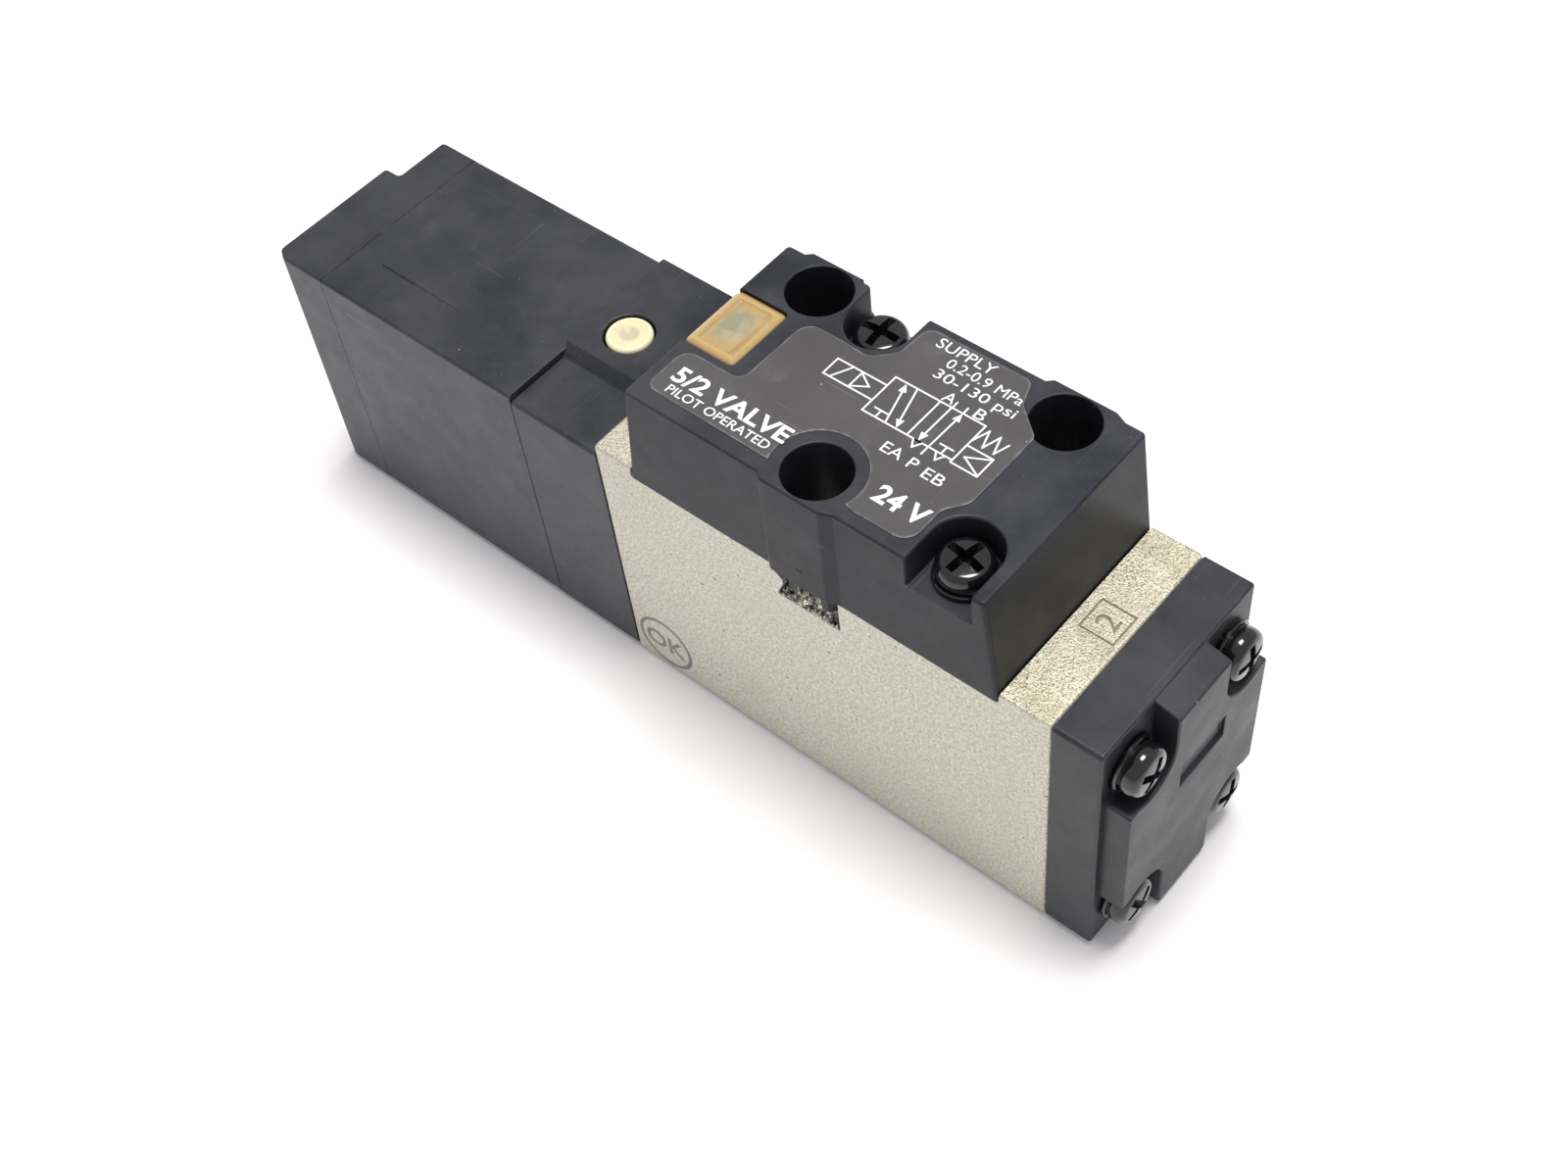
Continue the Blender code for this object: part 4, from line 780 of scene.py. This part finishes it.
def stroke(shape, points, thickness, closed):
    """A drawn line, as flat bars between points given in millimetres; each bar is a hair higher."""
    width = 0.2 * MM
    points = [Vector(p) * MM for p in points]
    for start, end in zip(points, points[1:] + (points[:1] if closed else [])):
        thickness += BAR_STEP
        along = (end - start).normalized() * width / 2
        side = Vector((-along.y, along.x))
        corners = [start - along - side, end + along - side, end + along + side, start - along + side]
        print_patch(shape, corners, thickness)


def arrow_head(shape, tip, direction, thickness):
    """A filled arrow head at a tip, in millimetres."""
    tip = Vector(tip) * MM
    along = Vector(direction).normalized()
    side = Vector((-along.y, along.x))
    length, half = mm(1.15, 0.46)
    foot = tip - along * length
    print_patch(shape, [tip, foot + side * half, foot - side * half], thickness)


# the valve symbol, in mm: closed outlines, open lines, and arrow heads as tip and direction
SYMBOL_CLOSED = [
    [(-1.8, 4.65), (9.75, 4.65), (9.75, -0.95), (-1.8, -0.95)],
    [(-8.35, 3.2), (-1.8, 3.2), (-1.8, 0.7), (-8.35, 0.7)],
    [(-5.0, 3.05), (-3.2, 1.95), (-5.0, 0.85)],
    [(9.75, 1.5), (13.05, 1.5), (13.05, -1.25), (9.75, -1.25)],
    [(13.05, 1.4), (10.5, 0.1), (13.05, -1.15)],
    [(4.85, -0.95), (6.0, -0.95), (5.42, -1.95)],
    [(7.75, -0.95), (8.9, -0.95), (8.33, -1.95)]]
SYMBOL_OPEN = [
    [(4.0, 4.65), (4.0, -0.95)], [(-7.5, 0.7), (-6.2, 3.2)],
    [(1.2, -0.95), (-0.15, 4.0)], [(1.05, 4.65), (2.4, -0.4)],
    [(5.45, 4.65), (5.4, -0.4)], [(6.75, -0.95), (6.85, 4.0)],
    [(-0.9, 0.1), (0.7, 0.1)], [(-0.1, 0.1), (-0.1, -0.95)],
    [(7.5, 0.1), (9.1, 0.1)], [(8.33, 0.1), (8.33, -0.95)],
    [(5.5, 4.65), (5.5, 5.5)], [(6.87, 4.65), (6.87, 5.5)], [(6.75, -0.95), (6.75, -2.1)],
    [(9.75, 2.2), (10.5, 4.3), (11.2, 2.1), (11.9, 4.3), (12.6, 2.1), (13.2, 3.9)]]
SYMBOL_ARROWS = [((-0.3, 4.5), (-1.35, 4.95)), ((2.55, -0.85), (1.35, -5.05)),
                 ((5.4, -0.9), (-0.05, -5.0)), ((6.87, 4.6), (0.1, 5.0))]
# text, left end, right end, baseline (all in mm), cap height, weight
PRINTED = [
    ("5/2 VALVE", -20.9, -5.4, -9.3, 2.2, 0.075), ("PILOT OPERATED", -20.2, -6.3, -10.95, 1.2, 0.01),
    ("SUPPLY", -1.3, 6.0, 10.55, 1.5, 0.0), ("0.2-0.9 MPa", 1.3, 10.9, 8.8, 1.4, 0.0),
    ("30-130 psi", 1.1, 11.3, 6.95, 1.4, 0.0), ("A", 3.8, 5.2, 4.9, 1.5, 0.0),
    ("B", 7.8, 9.0, 4.85, 1.5, 0.0), ("EA", 2.95, 5.45, -4.15, 1.5, 0.0), ("P", 6.4, 7.4, -4.3, 1.5, 0.0),
    ("EB", 8.4, 10.9, -4.5, 1.5, 0.0), ("24 V", 6.2, 12.4, -9.6, 2.35, 0.09)]


def make_print():
    """The white print: a valve symbol and plain ratings."""
    thickness = 0.02 * MM
    shape = bmesh.new()
    for number, points in enumerate(SYMBOL_CLOSED + SYMBOL_OPEN):
        stroke(shape, points, thickness + 0.4 * BAR_STEP * number, number < len(SYMBOL_CLOSED))
    for tip, direction in SYMBOL_ARROWS:
        arrow_head(shape, tip, direction, thickness)
    finish(add_object("label_symbol", shape), "label_film", look="printing_ink")
    for number, (text, left, right, base, height, weight) in enumerate(PRINTED, start=1):
        piece = lettering(text, height * MM, thickness, weight * MM)
        low, high = span_of(piece)
        scale = (right - left) * MM / (high.x - low.x)
        piece.data.transform(
            Matrix.Translation((left * MM, base * MM, PRINT_Z + thickness / 2))
            @ Matrix.Diagonal((scale, 1, 1, 1)) @ Matrix.Translation((-low.x, 0, 0)))
        piece.name = piece.data.name = f"label_text_{number}"
        finish(piece, "label_film", look="printing_ink")


# ---- screws

# edges of the washer and the head, in mm: distance in from the widest point, and height
WASHER = ((0.12, 0.0), (0, 0.12), (0, 0.33), (0.12, 0.45))
HEAD_SIDE = ((0.35, 0.45), (0.35, 0.6), (0.08, 0.66), (0, 0.8), (0, 1.5))
# the cross recess, floor to mouth: its height, reach and width, as shares of the whole
RECESS = ((-1, 0.5, 0.5), (-0.35, 0.86, 0.85), (0.0, 1.0, 1.0))


def make_screw(name, node, face, turn, size):
    """A pan-head screw with a flat washer and a tapered cross recess; face is the way the head looks."""
    low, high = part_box(node)
    middle = (low + high) / 2
    axis, sign = face[1], -1 if face[0] == "-" else 1
    index = "XYZ".index(axis)
    length = high[index] - low[index]
    base = length - 2.9 * MM * size
    head, ring, shank = 3.1 * MM * size, 3.4 * MM * size, 1.35 * MM * size
    profile = [(0, 0), (shank - 0.3 * MM, 0), (shank, 0.4 * MM), (shank, base)]
    profile += [(ring - inset * MM, base + height * MM * size) for inset, height in WASHER]
    profile += [(head - inset * MM, base + height * MM * size) for inset, height in HEAD_SIDE]
    dome_foot = profile[-1][1]
    shoulder, dome, steps = 0.95 * MM * size, 1.2 * MM * size, 7
    for i in range(1, steps + 1):
        a = pi / 2 * i / steps
        profile.append((head - shoulder * (1 - cos(a)), dome_foot + dome * sin(a)))
    profile += [(1.2 * MM * size, length - 0.03 * MM), (0, length)]
    screw = turned(name, profile, (0, 0, 0), segments=56)
    reach, half, deep = 2.35 * MM * size, 0.5 * MM * size, 1.7 * MM * size
    levels = [(deep * height, long, wide) for height, long, wide in RECESS] + [(OVER, 1.15, 1.2)]
    for step in (0, 1):
        shape = bmesh.new()
        skin(shape, [[shape.verts.new((x * reach * long, y * half * wide, length + height))
                      for x, y in rectangle(-1, 1, -1, 1)] for height, long, wide in levels])
        bmesh.ops.rotate(shape, verts=shape.verts, matrix=Matrix.Rotation(turn + step * pi / 2, 3, "Z"))
        carve(screw, add_object("cutter", shape))
    if axis == "X":
        screw.data.transform(Matrix.Rotation(sign * pi / 2, 4, "Y"))
    middle[index] = low[index] if sign > 0 else high[index]
    screw.data.transform(Matrix.Translation(middle))
    finish(screw, "black_screw", node, smooth=38)


# ---- end cover

def boss_outline():
    """The raised boss: a rectangle with a round bite at each corner for the screws."""
    half_width, half_height, reach, bite = 12.5 * MM, (END_HIGH.z - END_LOW.z) / 2, 4.6 * MM, 4.3 * MM
    screw_y, screw_z = mm(8.8, 13.0)
    points, radii = [], []
    for side, end in ((1, 1), (-1, 1), (-1, -1), (1, -1)):
        corner = arc((screw_y, screw_z), bite, -60, -170, 12)
        quarter = [(half_width, corner[0][1])] + corner + [(reach, half_height)]
        radius = [0.35 * MM] + [0.0] * len(corner) + [0.3 * MM]
        if side != end:
            quarter.reverse()
            radius.reverse()
        points += [(side * across, AXIS_Z + end * up) for across, up in quarter]
        radii += radius
    return rounded(points, radii, 3)


def boss_slope(point):
    """The boss's top slopes down towards its face."""
    foot, fall = mm(35, 1.2)
    out = max(0.0, (point.x - SLAB_FACE) / (END_HIGH.x - SLAB_FACE))
    upper = max(0.0, (point.z - foot) / (END_HIGH.z - foot))
    return Vector((point.x, point.y, point.z - fall * out * upper))


def make_end_cover():
    """The end cover: a slab with a raised boss and a shallow recess."""
    slab = rounded(rectangle(END_LOW.y, END_HIGH.y, END_LOW.z, END_HIGH.z), 0.55 * MM)
    cover = solid("valve_end_cover", slab, rounds(BODY_HIGH.x + SEAM, SLAB_FACE, 0.12 * MM, 0.35 * MM), "X")
    face, edge = END_HIGH.x, 0.1 * MM
    boss = solid("boss", boss_outline(), rounds(SLAB_FACE - OVER, face, 0, 0.28 * MM), "X", boss_slope)
    carve(cover, boss, operation="UNION")
    recess = rounded(rectangle(*mm(-3.2, 5.0, 23.1, 26.9)), 0.15 * MM)
    levels = rounds(face - 0.5 * MM, face, edge, -edge) + [(face + OVER, -edge)]
    carve(cover, solid("cutter", recess, levels, "X"),
          drill_x(4.4 * MM, BODY_HIGH.x - OVER, face - 2.2 * MM))
    finish(cover, "end_cover_plastic", "end_cover")


# ---- pilot adapter

def make_adapter():
    """The pilot adapter, with a raised pad and the button's bore."""
    near, far, base, top = PAD_LOW.y, PAD_HIGH.y, PAD_LOW.z, PAD_HIGH.z
    shelf, pad_near, slope = mm(36.5, -3.4, 1.2)
    points = [(near, base), (far, base), (far, top), (pad_near, top), (pad_near - slope, shelf),
              (near, shelf)]
    outline = rounded(points, mm(0.4, 0.4, 0.4, 0.3, 0.5, 0.55))
    adapter = solid("pilot_block", outline,
                    rounds(PAD_LOW.x + 0.02 * MM, BODY_LOW.x - SEAM, 0.18 * MM, 0.15 * MM), "X")
    stem_r, seal_r, button_r = mm(1.5, 2.25, 3.15)
    seal_low, seal_high = mm(30.3, 31.3)
    bore = [(stem_r, 27.85 * MM, seal_low), (seal_r, seal_low, seal_high),
            (stem_r, seal_high, ADAPTER_BORE_Z), (button_r, ADAPTER_BORE_Z, top)]
    plug = rounded(rectangle(*mm(-43.2, -33.2, -6.2, 6.2)), 0.6 * MM)
    carve(adapter, stepped(BUTTON_X, BUTTON_Y, bore, flare=0.16 * MM),
          drill_x(7.25 * MM, -41.2 * MM, BODY_LOW.x + OVER), drill_x(2.3 * MM, PAD_LOW.x - OVER, -40.5 * MM),
          solid("cutter", plug, [(base - OVER, 0), (base + 9.6 * MM, 0)]))
    finish(adapter, "black_plastic", "pilot_adapter")


def make_button():
    """The ivory button, with a groove round a dished middle and a rolled rim."""
    low, top = BUTTON_LOW.z, BUTTON_HIGH.z
    stem, radius, bevel, roll = mm(1.2, 2.85, 0.15, 0.5)
    skirt = ADAPTER_BORE_Z + 2.2 * MM
    profile = [(0, low), (1.05 * MM, low), (stem, low + bevel), (stem, skirt), (radius - bevel, skirt),
               (radius, skirt + bevel)]
    roll_steps = 6
    for i in range(roll_steps + 1):
        a = pi / 2 * i / roll_steps
        profile.append((radius - roll * (1 - cos(a)), top - roll * (1 - sin(a))))
    for inset, drop in ((0.78, 0.0), (0.86, 0.05), (0.98, 0.05), (1.06, 0.0)):
        profile.append((radius - inset * MM, top - drop * MM))
    dish, depth, dish_steps = 1.5 * MM, 0.3 * MM, 9
    for i in range(dish_steps + 1):
        r = dish * (1 - i / dish_steps)
        profile.append((r, top - depth * (0.5 + 0.5 * cos(pi * r / dish))))
    button = turned("push_button", profile, (BUTTON_X, BUTTON_Y, 0), segments=72)
    finish(button, "ivory_plastic", "override_button", body="button", smooth=50)


# ---- solenoid

def make_housing():
    """The solenoid housing: a hollow box with a shallow land on top."""
    left, right = CAP_HIGH.x + SEAM, PAD_LOW.x - SEAM
    top = SHELL_HIGH.z - 0.3 * MM
    outline = rounded(rectangle(SHELL_LOW.y, SHELL_HIGH.y, SHELL_LOW.z, top), 0.5 * MM)
    housing = solid("coil_housing", outline, rounds(left, right, 0.04 * MM, 0.12 * MM), "X")
    land_left, land_right, sunk = mm(-73.6, -47.5, 0.31)

    def sink(point):
        """The land is proud at its left end and fades into the top at its right end."""
        if point.z < top - 0.2 * MM:
            return point
        across = max(0.0, (point.x - land_left) / (land_right - land_left))
        return Vector((point.x, point.y, point.z - sunk * across ** 1.3))

    land = rounded(rectangle(land_left, land_right, -7.0 * MM, 10.0 * MM),
                   mm(0.8, 0.3, 0.3, 0.8))
    carve(housing, solid("land", land, rounds(top - 1.0 * MM, SHELL_HIGH.z, 0, 0.22 * MM), warp=sink),
          operation="UNION")
    wall = 1.8 * MM
    carve(housing, chunk((left - OVER, SHELL_LOW.y + wall, SHELL_LOW.z + wall),
                         (right + OVER, SHELL_HIGH.y - wall, top - wall)))
    finish(housing, "black_plastic", "solenoid_housing")


def make_cap():
    """The solenoid's stepped end cap, with two deep screw holes."""
    near, far, low, high = CAP_LOW.y, CAP_HIGH.y, CAP_LOW.z, CAP_HIGH.z
    left, right, step, step_y = CAP_LOW.x, CAP_HIGH.x, 2.5 * MM, 5.6 * MM
    past = 2 * MM  # made too long, then cut off square
    points = [(right + past, near), (left + 1.6 * MM, near), (left, near + 1.0 * MM), (left, step_y),
              (left + step, step_y), (left + step, far), (right + past, far)]
    radii = mm(0, 1.4, 0.9, 0.6, 0.5, 0.6, 0)
    outline = points_ccw([Vector(p) for p in rounded(points, radii)])
    cap = solid("coil_cap", outline, rounds(low, high, 0.4 * MM, 0.42 * MM))
    end, shell = mm(4, 4.5)
    cutters = [chunk((left + end, -9 * MM, low + shell), (right + OVER, 8 * MM, high - shell))]
    for side in (1, -1):
        y, z = side * 9.8 * MM, AXIS_Z + side * 13.2 * MM
        cutters.append(drill_x(2.5 * MM, left - OVER, left + end, y, z))
    carve(cap, *cutters, chunk((right - SEAM, near - OVER, low - OVER),
                               (right + 2 * past, far + OVER, high + OVER)))
    finish(cap, "black_plastic", "solenoid_end_cap")


# ---- springs

def make_spring(name, node, axis, fixed, wire, turns):
    """A coil spring with closed ends, filling its CAD node's box."""
    low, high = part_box(node)
    lay = "XYZ".index(axis)
    side, rise = (lay + 1) % 3, (lay + 2) % 3
    extent = high - low
    radius = (max(extent[side], extent[rise]) - wire) / 2
    centre = (low + high) / 2
    closed = 1.1 * wire  # pitch of the closed turn at each end
    start, end = low[lay] + wire / 2, high[lay] - wire / 2
    per_turn, around = 24, 8
    pitch = (end - start - 2 * closed) / (turns - 2)
    shape = bmesh.new()
    rings = []
    for i in range(turns * per_turn + 1):
        turn = i / per_turn
        along = start + closed * min(turn, 1) + pitch * min(max(turn - 1, 0), turns - 2)
        along += closed * max(turn - turns + 1, 0)
        radial, forward = Vector(), Vector()
        radial[side], radial[rise] = cos(tau * turn), sin(tau * turn)
        forward[side], forward[rise] = -radial[rise], radial[side]
        forward[lay] = pitch / (tau * radius)
        up = forward.normalized().cross(radial)
        middle = centre + radial * radius
        middle[lay] = along
        rings.append([shape.verts.new(middle + (radial * cos(a) + up * sin(a)) * wire / 2)
                      for a in (tau * k / around for k in range(around))])
    skin(shape, rings)
    spring = add_object(name, shape)
    finish(spring, "steel", node, smooth=60)
    direction, anchor = Vector(), centre.copy()
    direction[lay] = 1.0
    anchor[lay] = high[lay] if fixed == "high" else low[lay]
    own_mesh(spring)


# ---- carried-over nodes

def dress_frame():
    """Every CAD node that stays gets the full material of its slot."""
    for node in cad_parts.values():
        for holder in node.material_slots:
            slot = holder.material.name.split(".")[0]
            holder.material = LOOKS[slot]


# ---- stage

def make_camera():
    """The photo's view."""
    lens = bpy.data.cameras.new("camera")
    lens.lens = 47.269
    lens.sensor_width = 36.0
    lens.clip_start = 0.005
    camera = link("camera", lens)
    camera.location = (0.094058, -0.106554, 0.207660)
    camera.rotation_euler = [radians(a) for a in (37.5268, 4.7308, 40.2593)]
    bpy.context.scene.camera = camera


def make_floor():
    """A plain pale floor."""
    mesh = bpy.data.meshes.new("floor")
    half = 4.0
    mesh.from_pydata([(x, y, 0) for x, y in rectangle(-half, half, -half, half)], [], [(0, 1, 2, 3)])
    floor = link("floor", mesh)
    paint = Paint("floor_look", Specular_IOR_Level=0.2)
    tone = paint.noise(9, 2.0)
    paint.set("Base Color", paint.blend((0.97, 0.965, 0.965), (0.955, 0.95, 0.95), tone))
    paint.set("Roughness", paint.span(tone, (0.3, 0.7), (0.6, 0.75)))
    mesh.materials.append(paint.material)


def make_lights():
    """A pale world all round and one softbox above."""
    world = bpy.data.worlds.new("studio")
    world.use_nodes = True
    backdrop = world.node_tree.nodes["Background"]
    backdrop.inputs["Color"].default_value = (0.985, 0.965, 1.0, 1)
    backdrop.inputs["Strength"].default_value = 0.62
    bpy.context.scene.world = world
    bpy.context.scene.view_settings.view_transform = "Standard"
    lamp = bpy.data.lights.new("top_softbox", "AREA")
    lamp.shape = "RECTANGLE"
    lamp.size = lamp.size_y = 0.8
    lamp.energy = 50
    lamp.color = (1.0, 0.985, 0.965)
    light = link("top_softbox", lamp)
    light.location = (0.05, 0.30, 2.5)
    light.rotation_euler = (-light.location).to_track_quat("-Z", "Y").to_euler()


make_camera()
make_floor()
make_lights()
dress_frame()
make_body()
make_body_marks()
make_notch_floor()
make_cover()
make_window()
make_label()
make_print()
# name, CAD name, count, the way the heads look, first turn and step in degrees, size
for name, node, count, face, first, step, size in (
        ("cover_pan", "cover", 2, "+Z", 14, -12, 1.0), ("end_pan", "end_cover", 4, "+X", 20, 35, 1.0),
        ("cap_pan", "housing", 2, "-X", 0, 50, 0.62)):
    for index in range(1, count + 1):
        turn = radians(first + step * index)
        make_screw(f"{name}_screw_{index}", f"{node}_screw_{index}", face, turn, size)
make_end_cover()
make_adapter()
make_button()
make_housing()
make_cap()
make_spring("return_coil", "return_spring", "X", "high", 0.6 * MM, 8)
make_spring("armature_coil", "armature_spring", "X", "low", 0.3 * MM, 7)
make_spring("button_coil", "button_spring", "Z", "low", 0.35 * MM, 4)
